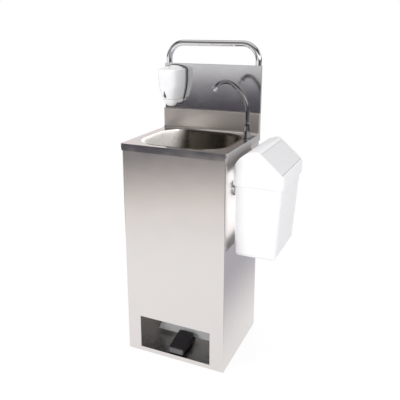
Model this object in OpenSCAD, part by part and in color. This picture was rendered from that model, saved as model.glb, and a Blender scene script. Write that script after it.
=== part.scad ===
// Free-standing hand wash station in folded stainless steel, with a foot pump, two
// water cans inside, a soap dispenser, a push handle, two wheels and a side bin.
// X runs to the right, Y to the splashback, Z up from the floor.

/* [Cabinet] */
// Width of the cabinet body
body_w = 422; // [416:2:440]
// Depth of the cabinet body, front to back
body_d = 377; // [370:1:400]
// Height of the basin rim above the floor
rim_z = 880; // [860:5:920]
// Thickness of all folded steel sheet
sheet = 1.2; // [1:0.1:1.5]
// Outside radius of a fold in the sheet
fold_r = 3; // [2:0.5:4]
// Gap between the lower edge of the cabinet and the floor
skirt_gap = 4; // [2:1:6]
// Width of the foot opening in the front
open_w = 306; // [286:2:316]
// Height of the foot opening
open_h = 140; // [130:2:150]
// Height of the sill under the foot opening
open_sill = 22; // [20:1:26]
// Width of the folded edges beside the open back
flange_w = 20; // [14:1:22]
// Height of the can shelf above the floor
shelf_z = 177; // [174:1:190]

/* [Basin] */
// Overhang of the rim past the cabinet on every side
rim_over = 4; // [3.5:0.5:6]
// Height of the folded apron round the rim
apron_h = 27; // [22:1:34]
// Width of the bowl's mouth
bowl_w = 352; // [330:2:354]
// Length of the bowl's mouth, front to back
bowl_l = 310; // [290:2:314]
// Plan radius of the bowl's corners
bowl_corner = 100; // [80:2:110]
// Depth of the bowl to the drain
bowl_depth = 145; // [120:5:160]
// Distance that the bowl's centre lies in front of the cabinet's centre
bowl_fwd = 10; // [6:1:14]
// Radius of the drain hole in the bowl
drain_hole_r = 23; // [22.6:0.2:24]
// Height of the upstand behind the bowl
upstand_h = 85; // [70:5:95]
// Depth of the ledge in front of the splashback
ledge_d = 13; // [10:1:14]
// Radius of the cove between the deck and the upstand
cove_r = 9; // [6:1:12]

/* [Splashback and handle] */
// Height of the splashback panel above the ledge
splash_h = 190; // [170:5:210]
// Depth of the folded edges round the splashback
splash_fold = 14; // [12:0.5:16]
// Outside diameter of the handle tube
handle_d = 25; // [22:1:26]
// Wall of the handle tube
handle_wall = 1.5; // [1:0.25:2]
// Centreline height of the handle above the splashback
handle_rise = 85; // [75:1:95]
// Centreline radius of the handle's bends
handle_bend = 68; // [60:1:74]
// Height of a tube clamp
clamp_h = 16; // [12:1:20]

/* [Tap] */
// Distance of the tap in from the right edge of the rim
tap_in = 16; // [15.5:0.5:18]
// Distance of the tap in front of the upstand
tap_fwd = 95; // [85:1:105]
// Height of the tap's body above the deck
tap_h = 56; // [50:1:60]
// Radius of the tap's body at its fullest
tap_r = 13.5; // [13:0.5:15]
// Outside radius of the spout tube
spout_r = 8; // [7:0.25:9]
// Wall of the spout tube
spout_wall = 1.5; // [1:0.25:2]
// Height of the straight part of the spout above the tap's body
spout_stand = 40; // [30:1:46]
// Centreline radius of the spout's long lower curve
spout_long_r = 144; // [136:1:152]
// Centreline radius of the spout's top curve
spout_top_r = 43; // [40:1:46]
// Plan angle of the spout from the rim's right edge, turned to the front
spout_turn = 20; // [10:1:30]

/* [Foot pump] */
// Distance of the pedal's middle to the right of the cabinet's middle
pedal_x = 2; // [-10:1:10]
// Width of the rubber pedal
pedal_w = 64; // [60:1:72]
// Length of the rubber pedal
pedal_l = 116; // [110:1:118]
// Height of the pedal's front edge above the cabinet floor
pedal_front_h = 24; // [22:1:28]
// Height of the pedal's rear hump above the cabinet floor
pedal_rear_h = 44; // [42:1:48]
// Thickness of the pedal's rubber
pedal_rubber = 4; // [3:0.5:5]
// Outside radius of the pump's bellows
bellows_r = 21; // [18:1:22]
// Number of folds in the bellows
bellows_folds = 4; // [3:1:5]
// Outside radius of the water pipes
pipe_r = 5; // [4:0.5:5.5]

/* [Water cans] */
// Width of a water can
can_w = 155; // [140:1:156]
// Depth of a water can, front to back
can_d = 260; // [240:2:270]
// Height of a water can's body
can_h = 330; // [280:5:340]
// Wall of a water can
can_wall = 2.5; // [2:0.25:3.5]
// Rounding of a water can's edges
can_round = 18; // [12:1:22]
// Outside radius of a can's neck
neck_r = 29; // [26:1:32]

/* [Soap dispenser] */
// Distance of the dispenser's middle in from the splashback's left edge
soap_in = 53; // [52:1:60]
// Width of the dispenser's cover
soap_w = 102; // [94:1:103]
// Depth of the dispenser's cover from the wall
soap_d = 92; // [84:1:100]
// Height of the cover between its lower edge and its top edge
soap_h = 125; // [112:1:132]
// Rise of the cover's arched top
soap_arch = 14; // [10:1:20]
// Wall of the cover
soap_wall = 2.5; // [2:0.25:3]
// Height of the push lever below the cover
lever_h = 30; // [24:1:34]

/* [Bin] */
// Gap between the cabinet's side and the bin's lid
bin_gap = 8; // [7:0.5:12]
// Width of the bin's lid, away from the cabinet
lid_w = 189; // [178:1:196]
// Length of the bin's lid, along the cabinet's side
lid_l = 284; // [270:1:300]
// Height of the lid's straight skirt
lid_skirt = 46; // [40:1:50]
// Rise of the lid above its skirt
lid_rise = 84; // [74:1:92]
// Wall of the bin and its lid
bin_wall = 2.5; // [2:0.25:3]
// Height of the bin's body
bin_h = 290; // [260:5:300]
// Height of the lid's lower edge above the floor
lid_z = 756; // [740:2:764]
// Distance of the bin's middle in front of the cabinet's middle
bin_fwd = 2; // [0:1:8]

/* [Wheels] */
// Radius of a rear wheel
wheel_r = 30; // [28:1:34]
// Width of a rear wheel's tyre
wheel_w = 24; // [20:1:26]
// Distance between the middles of the wheels
wheel_track = 324; // [316:2:332]
// Radius of the wheel axle
axle_r = 5; // [4:0.5:6]

/* [Hidden] */
$fn = 48;

// Overrun of every cut past the face that it leaves
cut = 1;
// Gap between pieces that slide or rest on each other
rest = 0.3;
// Gap between pieces that are pressed, welded or screwed together
seat = 0.05;
// Radial clearance of a turning fit
run = 0.06;

// Faces of the cabinet
half_w = body_w / 2;
half_d = body_d / 2;
in_w = half_w - sheet;
in_d = half_d - sheet;
pan_w = in_w - rest;
pan_d = in_d - rest;
deck_z = rim_z - sheet;
floor_drop = 1;
base_z = open_sill - floor_drop;
base_under = base_z - sheet;
base_fold = 14;
shelf_under = shelf_z - sheet;
shelf_fold = 12;

// Faces of the basin and the splashback
rim_w = body_w + 2 * rim_over;
rim_d = body_d + 2 * rim_over;
rim_half_w = rim_w / 2;
rim_rear = rim_d / 2;
splash_y = rim_rear - splash_fold;
upstand_y = splash_y - ledge_d;
ledge_z = rim_z + upstand_h;
splash_z0 = ledge_z + seat;
splash_z1 = splash_z0 + splash_h;
splash_back = splash_y + sheet;

// Bowl and drain
bowl_y = -bowl_fwd;
bowl_z = rim_z - bowl_depth;
bowl_arc = 10;
drain_flange_r = 35;
drain_flange_t = 2;
drain_tail_r = 22;
drain_tail_h = 35;
drain_bore_r = 18;
drain_step = 2;
strainer_drop = 9;
strainer_t = 2;
strainer_hole_r = 2;
strainer_ring_r = 9;
strainer_holes = 8;
gasket_t = 3;
drain_nut_h = 10;
drain_nut_r = 36;
drain_nut_lugs = 8;
tail_z = bowl_z - drain_tail_h;

// Waste pipe
waste_r = 16;
waste_wall = 2.5;
waste_bend = 30;
waste_collar_r = 21.9;
waste_collar_h = 4.8;
coupling_r = 27;
coupling_grip = 12;
coupling_floor = 4;
coupling_grooves = 12;
groove_r = 2;

// Feet
foot_r = 16;
foot_pad_h = 8;
foot_stud_r = 4;
foot_nut_r = 8;
foot_nut_h = 8;
foot_in = 40;
foot_clear = 45;
foot_front_x = half_w - foot_in;
foot_rear_x = wheel_track / 2 - foot_clear;
foot_y = half_d - foot_in;

// Handle
handle_r = handle_d / 2;
handle_in = 15.5;
handle_lift = 8;
handle_x = rim_half_w - handle_in;
handle_y = splash_back + rest + handle_r;
handle_z0 = splash_z0 + handle_lift;
handle_z1 = splash_z1 + handle_rise;
clamp_t = 1.5;
clamp_ear = 14;
clamp_edge = 38;
clamp_hole_r = 2.7;
clamp_stud_r = 2.5;
clamp_stud_h = 9;
clamp_nut_r = 4.6;
clamp_nut_h = 4;

// Tap
tap_x = rim_half_w - tap_in;
tap_y = upstand_y - tap_fwd;
tap_gasket_t = 1;
tap_z = rim_z + tap_gasket_t;
tap_flange_r = 15;
tap_flange_h = 3;
tap_shank_r = 6.5;
tap_shank_l = 45;
tap_way_r = 3.5;
tap_socket = 34;
tap_nut_r = 9.6;
tap_nut_h = 8;
tap_hole_r = tap_shank_r + rest;
tap_tail_z = tap_z - tap_shank_l;

// Spout, a swan neck of two arcs
spout_lean = 55;
spout_dip = 144;
spout_end = 10;
outlet_l = 18;
outlet_grip = 9;
outlet_wall = 1.6;
outlet_flare = 2.4;

// Foot pump
pedal_set = 6;
hump_r = 14;
pad_lift = 4;
pad_tail = 24;
pad_front_r = 8;
pad_rear_r = 20;
pivot_in = 9;
pivot_up = 9;
pin_r = 2.5;
ear_r = 4.5;
ear_x = 22;
ear_w = 5;
lug_x = 14;
lug_w = 6;
treadle_t = 4;
pump_plate_t = 4;
pump_side = 1.5;
pump_seat_h = 2;
bellows_in = 82;
bellows_top = 28;
bellows_wall = 1.4;
bellows_fold = 4;
spring_r = 11;
spring_wire_r = 1;
spring_turns = 5;
spring_steps = 8;
spring_sides = 6;
pedal_y = -in_d + pedal_set;
pedal_end = pedal_y + pedal_l;
pivot_y = pedal_y + pivot_in;
pivot_z = base_z + pivot_up;
bellows_y = pedal_y + bellows_in;
pump_seat_z = base_z + pump_plate_t + pump_seat_h;
bellows_top_z = base_z + bellows_top;
guard_gap = 5;
guard_y = pedal_end + guard_gap;
guard_lift = 14;
guard_fold = 15;
guard_left = -140;
guard_cut = 70;
block_gap = 2;
block_w = 48;
block_l = 16;
block_h = 20;
block_y = guard_y + sheet + block_gap;
port_x = 16;
port_l = 8;
port_r = 3.7;

// Water pipes, clipped along the inside of the cabinet
pipe_bore_r = 3.8;
pipe_bend = 18;
pipe_x = tap_x;
pipe_z = base_z + pipe_r + rest;
pipe_start_y = block_y + block_l + seat;
suction_top = 40;
clip_l = 16;
clip_h = 12;
clip_edge = 1.5;
clip_low_z = 320;
clip_high_z = 620;
suction_clip_z = 500;
grommet_hole_r = 8;
grommet_flange_r = 8.8;
grommet_flange_h = 1.5;

// Water cans
can_part = 14;
can_back = 12;
can_x = (can_w + can_part) / 2;
can_y1 = in_d - can_back;
can_y0 = can_y1 - can_d;
can_y = can_y1 - can_d / 2;
can_z0 = shelf_z + rest;
can_z1 = can_z0 + can_h;
cap_in = 75;
cap_y = can_y1 - cap_in;
neck_h = 16;
neck_wall = 5;
neck_z = can_z1 + neck_h;
can_rib_h = 10;
can_rib_out = 1.5;
can_rib_shares = [0.22, 0.5, 0.78];
grip_w = 22;
grip_l = 120;
grip_h = 34;
grip_t = 14;
grip_root = 10;
grip_y = can_y0 + grip_l / 2 + can_round;
cap_wall = 4;
cap_skirt = 13;
cap_top = 3;
cap_ribs = 24;
cap_rib_r = 1;
nipple_r = 6;
nipple_h = 19;
dip_r = 5;
dip_gap = 8;
cap_z = neck_z + seat;
nipple_z = cap_z + cap_top + nipple_h;
funnel_wall = 2;
funnel_lip = 4;
funnel_h = 22;
funnel_out_r = 44;
funnel_tail = 20;
funnel_z = neck_z + seat;
funnel_gap = 3.5;
waste_end_z = funnel_z + funnel_wall + funnel_h + funnel_gap;
waste_drop = 60;

// Wheels and axle
floor_clear = 2;
axle_z = floor_clear + wheel_r;
axle_y = half_d;
wheel_x = wheel_track / 2;
hub_r = 21;
hub_web = 6;
hub_rim = 3;
hub_boss_r = 10;
hub_boss_l = 28;
hub_spokes = 6;
hub_spoke_w = 4;
bracket_in = 38;
bracket_gap = 1.5;
bracket_wall = 2.5;
bracket_arm = 8;
bracket_h = 26;
bracket_foot = 20;
bracket_half = hub_boss_l / 2 + bracket_gap;
notch_gap = 4;
axle_over = 6;
cap_nut_r = 9;
cap_nut_h = 6;

// Soap dispenser
soap_x = -rim_half_w + soap_in;
soap_lift = 45;
soap_z0 = ledge_z + soap_lift;
soap_rim_z = soap_z0 + soap_h;
plate_t = 4;
plate_edge = 2.5;
plate_front = splash_y - seat - plate_t;
cover_back = plate_front - rest;
skirt_h = 16;
skirt_front = 44;
lever_edge = 48;
lever_reach = 60;
seam = 1.2;
hinge_drop = 3;
hinge_out = 2.6;
hinge_r = 2.4;
hinge_pin_r = 1.2;
hinge_half = 20;
knuckle_half = 11;
hinge_z = soap_rim_z + soap_arch - hinge_drop;
hinge_y = cover_back - hinge_out;
bottle_w = 54;
bottle_d = 50;
bottle_h = 82;
bottle_lift = 25;
bottle_wall = 2;
bottle_r = 8;
bottle_back = 2;
bottle_y = cover_back - bottle_back - bottle_d / 2;
bottle_z = soap_z0 + bottle_lift;
soap_pump_r = 9;
soap_pump_h = 30;
nozzle_r = 4;
nozzle_h = 18;
soap_screw_r = 2.5;
soap_screw_head_r = 4.5;
soap_screw_head_h = 1.6;
soap_screw_up = 12;
soap_screw_over = 4;
lever_pivot_in = 30;
lever_pivot_down = 5;
lever_pin_r = 2;
lever_lug_r = 4;
lever_lug_x = 18;
lever_lug_w = 3;
lever_pin_l = 5;
shelf_t = 3;
shelf_arm = 12;
lever_arm_w = 4;
drop_angle = 15;
drop_x = 13;
drop_up = 12;
drop_r = 5.5;
drop_h = 21;
drop_fit = 0.15;

// Bin
lid_x0 = half_w + bin_gap;
lid_x1 = lid_x0 + lid_w;
lid_arc_share = 0.498;
lid_apex_x = lid_x0 + lid_w * lid_arc_share;
shoulder_z = lid_z + lid_skirt;
apex_z = shoulder_z + lid_rise;
bin_y = -bin_fwd;
lid_y0 = bin_y - lid_l / 2;
lid_y1 = bin_y + lid_l / 2;
bin_step = 7;
bin_lap = 14;
bin_top_z = lid_z + bin_lap;
bin_z0 = lid_z - (bin_h - bin_lap);
bin_x0 = lid_x0 + bin_step;
bin_x1 = lid_x1 - bin_step;
bin_side_taper = 19;
bin_end_taper = 6;
bin_round = 14;
bin_base_r = 10;
bin_panel_in = 30;
bin_rib_w = 4;
bin_rib_out = 1.2;
lid_ledge = 12;
slope_run = lid_x1 - lid_apex_x;
slope_drop = apex_z - shoulder_z;
slope_l = norm([slope_run, slope_drop]);
slope_tilt = atan2(slope_drop, slope_run);
flap_top = 12;
flap_low = 10;
flap_gap = 1;
flap_side = 10;
flap_in = 1;
flap_t = 2.5;
flap_pivot = 70;
flap_sink = 4.5;
flap_pin_r = 2.4;
flap_boss_r = 4;
flap_pin_l = 6;
stop_l = 6;
stop_t = 2;

// Bin bracket
bracket_t = 2;
strip_h = 60;
strip_drop = 37;
strip_front = 54;
strip_over = 62;
strip_z1 = rim_z - apron_h - strip_drop;
strip_z0 = strip_z1 - strip_h;
strip_y0 = bin_y - strip_front;
strip_y1 = rim_rear + strip_over;
strip_lip = 8;
rail_l = 180;
rail_drop = 56;
rail_z = lid_z - rail_drop;
rail_out = 9;
rail_up = 16.7;
hook_l = 170;
hook_t = 5;
hook_lip = 3.6;
hook_back = 2;
hook_drop = 13;
bracket_screw_r = 2.5;
screw_head_r = 5;
screw_head_h = 3;
screw_l = 12;
screw_front = 14;
screw_mid = 20;
screw_rear = 62;
bracket_screw_ys = [strip_y0 + screw_front, bin_y + screw_mid, rim_rear - screw_rear];
bracket_screw_z = (strip_z0 + strip_z1) / 2;
slot_r = 5;
slot_l = 14;
slot_out = 32;
slot_y = rim_rear + slot_out;

// Colours of the pieces
steel = [0.78, 0.78, 0.79];
chrome = [0.88, 0.89, 0.91];
white = [0.95, 0.95, 0.96];
black = [0.1, 0.1, 0.1];
grey = [0.35, 0.36, 0.38];
natural = [0.9, 0.92, 0.9];

// Flat outlines

module rounded(w, d, r) {
    square([w - 2 * r, d], center = true);
    square([w, d - 2 * r], center = true);
    for (x = [-1, 1], y = [-1, 1]) translate([x * (w / 2 - r), y * (d / 2 - r)]) circle(r);
}

// Extrude an outline drawn in Y and Z along X, over the width w about x = 0
module along_x(w) {
    rotate([90, 0, 90]) linear_extrude(w, center = true) children();
}

// Extrude an outline drawn in X and Z along Y, from y = 0 to y = l
module along_y(l) {
    rotate([90, 0, 0]) mirror([0, 0, 1]) linear_extrude(l) children();
}

// Runs of round tube

function unit(v) = v / norm(v);
function turn(p, i) = acos(unit(p[i] - p[i - 1]) * unit(p[i + 1] - p[i]));
function setback(p, i, bends) =
    i == 0 || i == len(p) - 1 ? 0 : bends[i - 1] * tan(turn(p, i) / 2);
function side_of(d) = abs(d[2]) > 0.9 ? [1, 0, 0] : [0, 0, 1];

module frame_at(x, y, z, at) {
    multmatrix([
        [x[0], y[0], z[0], at[0]],
        [x[1], y[1], z[1], at[1]],
        [x[2], y[2], z[2], at[2]],
        [0, 0, 0, 1]
    ]) children();
}

// Point the children's Z along d, standing at the point at
module aim(at, d) {
    z = unit(d);
    x = unit(cross(side_of(z), z));
    frame_at(x, cross(z, x), z, at) children();
}

// Round bar of radius r along the points p, each inner point rounded by its bend
module run_bar(p, bends, r) {
    last = len(p) - 1;
    for (i = [0 : last - 1]) {
        d = unit(p[i + 1] - p[i]);
        from = p[i] + d * setback(p, i, bends);
        to = p[i + 1] - d * setback(p, i + 1, bends);
        aim(from, d) cylinder(h = norm(to - from), r = r);
    }
    for (i = [1 : last - 1]) {
        a = unit(p[i] - p[i - 1]);
        b = unit(p[i + 1] - p[i]);
        n = unit(b - a * (a * b));
        mid = p[i] - a * setback(p, i, bends) + n * bends[i - 1];
        frame_at(-n, a, cross(-n, a), mid)
            rotate_extrude(angle = turn(p, i)) translate([bends[i - 1], 0]) circle(r);
    }
}

// The same points with both ends moved outwards by d
function stretched(p, d) = [
    for (i = [0 : len(p) - 1])
        i == 0 ? p[0] - d * unit(p[1] - p[0])
        : i == len(p) - 1 ? p[i] + d * unit(p[i] - p[i - 1])
        : p[i]
];

module run_tube(p, bends, r, bore) {
    difference() {
        run_bar(p, bends, r);
        run_bar(stretched(p, cut), bends, bore);
    }
}

// Lofted shells: every ring has the same number of points, listed outside first

function ring_faces(rings, n) = [
    for (k = [0 : rings - 2], i = [0 : n - 1])
        each [[k * n + i, k * n + (i + 1) % n, (k + 1) * n + (i + 1) % n],
              [k * n + i, (k + 1) * n + (i + 1) % n, (k + 1) * n + i]]
];

// Solid through the rings, closed by its first and last ring
module loft(rings) {
    n = len(rings[0]);
    last = (len(rings) - 1) * n;
    polyhedron(
        points = [for (r = rings) each r],
        faces = concat(ring_faces(len(rings), n),
            [[for (i = [n - 1 : -1 : 0]) i]],
            [[for (i = [0 : n - 1]) last + i]])
    );
}

// Closed skin through rings that come back to the first one
module skin(rings) {
    n = len(rings[0]);
    m = len(rings);
    polyhedron(
        points = [for (r = rings) each r],
        faces = concat(ring_faces(m, n), [
            for (i = [0 : n - 1])
                each [[(m - 1) * n + i, (m - 1) * n + (i + 1) % n, (i + 1) % n],
                      [(m - 1) * n + i, (i + 1) % n, i]]
        ])
    );
}

// Ring of a rounded rectangle with half sizes a and b
corner_steps = 11;
function box_ring(a, b, r, x, y, z) = [
    for (k = [0 : 3], i = [0 : corner_steps])
        let (t = 90 * k + 90 * i / corner_steps)
            [x + (k == 0 || k == 3 ? 1 : -1) * (a - r) + r * cos(t),
             y - (k < 2 ? 1 : -1) * (b - r) - r * sin(t), z]
];

// Cabinet

module foot_opening() {
    translate([-open_w / 2, -half_d - cut, open_sill]) cube([open_w, sheet + 2 * cut, open_h]);
}

// Room for the wheels and their brackets, which stand clear of the folded rear edges
module wheel_room() {
    reach = bracket_half + bracket_wall + axle_over + rest;
    l = bracket_in + bracket_wall + bracket_foot + rest;
    for (s = [-1, 1]) translate([s * wheel_x - reach, axle_y - l, skirt_gap - cut])
        cube([2 * reach, l + cut, axle_z + wheel_r - skirt_gap + cut]);
}

module cabinet_wrap() {
    color(steel) difference() {
        translate([0, 0, skirt_gap]) linear_extrude(deck_z - seat - skirt_gap) difference() {
            rounded(body_w, body_d, fold_r);
            rounded(2 * in_w, 2 * in_d, fold_r - sheet);
            translate([-(half_w - flange_w), 0]) square([2 * (half_w - flange_w), half_d + cut]);
        }
        foot_opening();
        wheel_room();
        for (y = bracket_screw_ys)
            translate([in_w - cut, y, bracket_screw_z]) rotate([0, 90, 0])
                cylinder(h = sheet + 2 * cut, r = bracket_screw_r + rest);
    }
}

// Sheet pan with its edges folded down
module pan(z, fold) {
    difference() {
        translate([0, 0, z - fold]) linear_extrude(fold) rounded(2 * pan_w, 2 * pan_d, fold_r);
        translate([0, 0, z - fold - cut]) linear_extrude(fold + cut - sheet)
            rounded(2 * (pan_w - sheet), 2 * (pan_d - sheet), fold_r - sheet);
    }
}

module base_plate() {
    notch_w = wheel_w + 2 * notch_gap;
    notch_y = axle_y - wheel_r - notch_gap;
    color(steel) difference() {
        pan(base_z, base_fold);
        for (s = [-1, 1])
            translate([s * wheel_x - notch_w / 2, notch_y, base_z - base_fold - cut])
                cube([notch_w, half_d, base_fold + 2 * cut]);
    }
}

module recess_guard() {
    z0 = base_z + guard_lift;
    z1 = shelf_under - seat;
    x1 = pan_w - sheet - rest;
    color(steel) {
        translate([0, guard_y + sheet, 0]) rotate([90, 0, 0]) linear_extrude(sheet)
            polygon([[guard_left, z0], [x1, z0], [x1, z1], [guard_left + guard_cut, z1]]);
        translate([guard_left + guard_cut, guard_y, z1 - sheet])
            cube([x1 - guard_left - guard_cut, guard_fold, sheet]);
    }
}

module can_shelf() {
    color(steel) difference() {
        pan(shelf_z, shelf_fold);
        for (p = [[-pipe_x, cap_y], [pipe_x, tap_y]])
            translate([p[0], p[1], shelf_under - cut])
                cylinder(h = sheet + 2 * cut, r = grommet_hole_r);
    }
}

module at_feet() {
    for (s = [-1, 1]) {
        translate([s * foot_front_x, -foot_y, 0]) children();
        translate([s * foot_rear_x, foot_y - foot_in / 4, 0]) children();
    }
}

module foot_pads() {
    color(black) at_feet() {
        cylinder(h = foot_pad_h, r = foot_r);
        cylinder(h = base_under - rest, r = foot_stud_r);
    }
}

module foot_nuts() {
    color(steel) at_feet() translate([0, 0, base_under - seat - foot_nut_h]) difference() {
        cylinder(h = foot_nut_h, r = foot_nut_r, $fn = 6);
        translate([0, 0, -cut]) cylinder(h = foot_nut_h + 2 * cut, r = foot_stud_r + run);
    }
}

// Basin

// Side view of the basin's outside; the inside is the same outline one sheet smaller
module basin_side(t) {
    cove = cove_r + t;
    face = upstand_y + t;
    translate([-rim_rear + t, rim_z - apron_h]) square([2 * (rim_rear - t), apron_h - t]);
    translate([face, rim_z - t]) square([rim_rear - t - face, upstand_h - fold_r]);
    translate([face + fold_r, rim_z - t]) square([rim_rear - t - face - fold_r, upstand_h]);
    translate([face + fold_r, ledge_z - fold_r - t]) circle(fold_r);
    difference() {
        translate([upstand_y - cove_r, rim_z - t]) square([cove + fold_r, cove]);
        translate([upstand_y - cove_r, rim_z + cove_r]) circle(cove);
    }
}

module bowl_mouth() {
    translate([0, bowl_y])
        rounded(bowl_w + 2 * seat, bowl_l + 2 * seat, bowl_corner + seat);
}

module basin_top() {
    color(steel) difference() {
        intersection() {
            along_x(rim_w) basin_side(0);
            linear_extrude(2 * rim_z) rounded(rim_w, rim_d, fold_r + sheet);
        }
        intersection() {
            along_x(rim_w - 2 * sheet) basin_side(sheet);
            linear_extrude(2 * rim_z) rounded(rim_w - 2 * sheet, rim_d - 2 * sheet, fold_r);
        }
        translate([0, 0, rim_z - apron_h - cut]) linear_extrude(2 * cut)
            rounded(rim_w - 2 * sheet, rim_d - 2 * sheet, fold_r);
        translate([0, 0, deck_z - cut]) linear_extrude(sheet + 2 * cut) bowl_mouth();
        translate([tap_x, tap_y, deck_z - cut]) cylinder(h = sheet + 2 * cut, r = tap_hole_r);
    }
}

// Inside of the bowl from its mouth to the drain: how far in, and how deep, in shares
bowl_shares = [
    [0, 0], [0.022, 0.008], [0.036, 0.035], [0.045, 0.09], [0.07, 0.35], [0.1, 0.62],
    [0.135, 0.79], [0.19, 0.905], [0.27, 0.965], [0.38, 0.98], [0.79, 1], [1, 1]
];
function bowl_point(i) = [bowl_shares[i][0], bowl_shares[i][1] * bowl_depth];
bowl_neck_r = drain_hole_r - sheet;
function bowl_half(s, mouth) = mouth + (bowl_neck_r - mouth) * s;
function bowl_slope(i) =
    let (a = bowl_shares[max(i - 1, 0)], b = bowl_shares[min(i + 1, len(bowl_shares) - 1)],
        run_in = (b[0] - a[0]) * (bowl_l / 2 - bowl_neck_r), down = (b[1] - a[1]) * bowl_depth)
    unit([run_in, down]);
function bowl_ring(i, t) =
    let (p = bowl_point(i), s = i == 0 ? [1, 0] : i == len(bowl_shares) - 1 ? [1, 0] : bowl_slope(i),
        a = bowl_half(p[0], bowl_w / 2) + t * s[1], b = bowl_half(p[0], bowl_l / 2) + t * s[1],
        r = bowl_half(p[0], bowl_corner) + t * s[1] - rest * p[0])
    box_ring(a, b, r, 0, bowl_y, rim_z - p[1] - t * s[0]);

module basin_bowl() {
    last = len(bowl_shares) - 1;
    color(steel) difference() {
        skin(concat(
            [for (i = [last : -1 : 0]) bowl_ring(i, sheet)],
            [for (i = [0 : last]) bowl_ring(i, 0)]
        ));
        translate([0, bowl_y, bowl_z - sheet - cut])
            cylinder(h = sheet + 2 * cut, r = drain_hole_r);
    }
}

// Drain

module at_drain(z) {
    translate([0, bowl_y, z]) children();
}

module drain_flange() {
    h = drain_tail_h + drain_flange_t;
    color(chrome) at_drain(tail_z + seat) difference() {
        union() {
            cylinder(h = h, r = drain_tail_r);
            translate([0, 0, h - drain_flange_t]) cylinder(h = drain_flange_t, r = drain_flange_r);
        }
        translate([0, 0, -cut]) cylinder(h = h + 2 * cut, r = drain_bore_r - drain_step);
        translate([0, 0, h - strainer_drop]) cylinder(h = h, r = drain_bore_r);
    }
}

module drain_strainer() {
    z = tail_z + seat + drain_tail_h + drain_flange_t - strainer_drop + seat;
    color(chrome) at_drain(z) difference() {
        cylinder(h = strainer_t, r = drain_bore_r - seat);
        translate([0, 0, -cut]) cylinder(h = strainer_t + 2 * cut, r = strainer_hole_r);
        for (k = [1 : strainer_holes]) rotate(360 / strainer_holes * k)
            translate([strainer_ring_r, 0, -cut])
            cylinder(h = strainer_t + 2 * cut, r = strainer_hole_r);
    }
}

module ring(r, bore, h) {
    difference() {
        cylinder(h = h, r = r);
        translate([0, 0, -cut]) cylinder(h = h + 2 * cut, r = bore);
    }
}

gasket_z = bowl_z - sheet - seat - gasket_t;
drain_nut_z = gasket_z - seat - drain_nut_h;

module drain_gasket() {
    color(black) at_drain(gasket_z) ring(drain_flange_r, drain_tail_r + seat, gasket_t);
}

module drain_nut() {
    color(white) at_drain(drain_nut_z) difference() {
        ring(drain_nut_r, drain_tail_r + seat, drain_nut_h);
        for (k = [0 : drain_nut_lugs - 1]) rotate(360 / drain_nut_lugs * k)
            translate([drain_nut_r, 0, -cut])
                cylinder(h = drain_nut_h + 2 * cut, r = drain_nut_h / 2);
    }
}

coupling_z = tail_z - waste_collar_h - 2 * seat - coupling_floor;

module waste_coupling() {
    color(white) at_drain(coupling_z) difference() {
        cylinder(h = coupling_floor + waste_collar_h + 2 * seat + coupling_grip, r = coupling_r);
        translate([0, 0, -cut])
            cylinder(h = coupling_floor + 2 * cut, r = waste_r + seat);
        translate([0, 0, coupling_floor])
            cylinder(h = waste_collar_h + 2 * coupling_grip, r = drain_tail_r + seat);
        for (k = [1 : coupling_grooves]) rotate(360 / coupling_grooves * k)
            translate([coupling_r + groove_r / 2, 0, -cut])
            cylinder(h = 2 * coupling_grip + coupling_floor + waste_collar_h, r = groove_r);
    }
}

waste_route = [
    [0, bowl_y, tail_z - seat],
    [0, bowl_y, tail_z - waste_drop],
    [can_x, bowl_y, tail_z - waste_drop],
    [can_x, cap_y, tail_z - waste_drop],
    [can_x, cap_y, waste_end_z]
];

module waste_pipe() {
    color(white) {
        run_tube(waste_route, [for (k = [1 : 3]) waste_bend], waste_r, waste_r - waste_wall);
        at_drain(tail_z - seat - waste_collar_h) ring(waste_collar_r, waste_r - seat, waste_collar_h);
    }
}

// Splashback and handle

module splashback() {
    color(steel) difference() {
        translate([0, rim_rear, splash_z0 + splash_h / 2]) rotate([90, 0, 0])
            linear_extrude(splash_fold) rounded(rim_w, splash_h, fold_r);
        translate([0, rim_rear + cut, splash_z0 + splash_h / 2]) rotate([90, 0, 0])
            linear_extrude(splash_fold - sheet + cut)
                rounded(rim_w - 2 * sheet, splash_h - 2 * sheet, fold_r - sheet);
        for (s = [-1, 1]) translate([s * handle_x, handle_y, splash_z1 - sheet - cut])
            cylinder(h = sheet + 2 * cut, r = handle_r + rest - seat);
        for (z = soap_screw_zs) translate([soap_x, splash_y - cut, z]) rotate([-90, 0, 0])
            cylinder(h = sheet + 2 * cut, r = soap_screw_r + seat);
    }
}

handle_points = [
    [-handle_x, handle_y, handle_z0],
    [-handle_x, handle_y, handle_z1],
    [handle_x, handle_y, handle_z1],
    [handle_x, handle_y, handle_z0]
];

module push_handle() {
    color(chrome)
        run_tube(handle_points, [handle_bend, handle_bend], handle_r, handle_r - handle_wall);
}

clamp_zs = [splash_z0 + clamp_edge, splash_z1 - clamp_edge];
clamp_hole_x = handle_r + clamp_t + clamp_ear / 2;

// Side s is -1 for the left leg and 1 for the right one; the ear points inwards
module at_clamps() {
    for (s = [-1, 1], z = clamp_zs) translate([s * handle_x, handle_y, z]) mirror([s > 0 ? 1 : 0, 0, 0])
        children();
}

module handle_clamps() {
    reach = handle_r + rest - seat;
    inner = handle_r + seat;
    outer = inner + clamp_t;
    color(steel) at_clamps() difference() {
        linear_extrude(clamp_h, center = true) {
            difference() {
                circle(outer);
                circle(inner);
                translate([-2 * outer, -2 * outer]) square([4 * outer, 2 * outer]);
            }
            translate([-outer, -reach]) square([clamp_t, reach]);
            translate([inner, -reach]) square([clamp_t, reach]);
            translate([inner, -reach]) square([clamp_t + clamp_ear, clamp_t]);
        }
        translate([clamp_hole_x, -reach - cut, 0]) rotate([-90, 0, 0])
            cylinder(h = clamp_t + 2 * cut, r = clamp_hole_r);
    }
}

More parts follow.
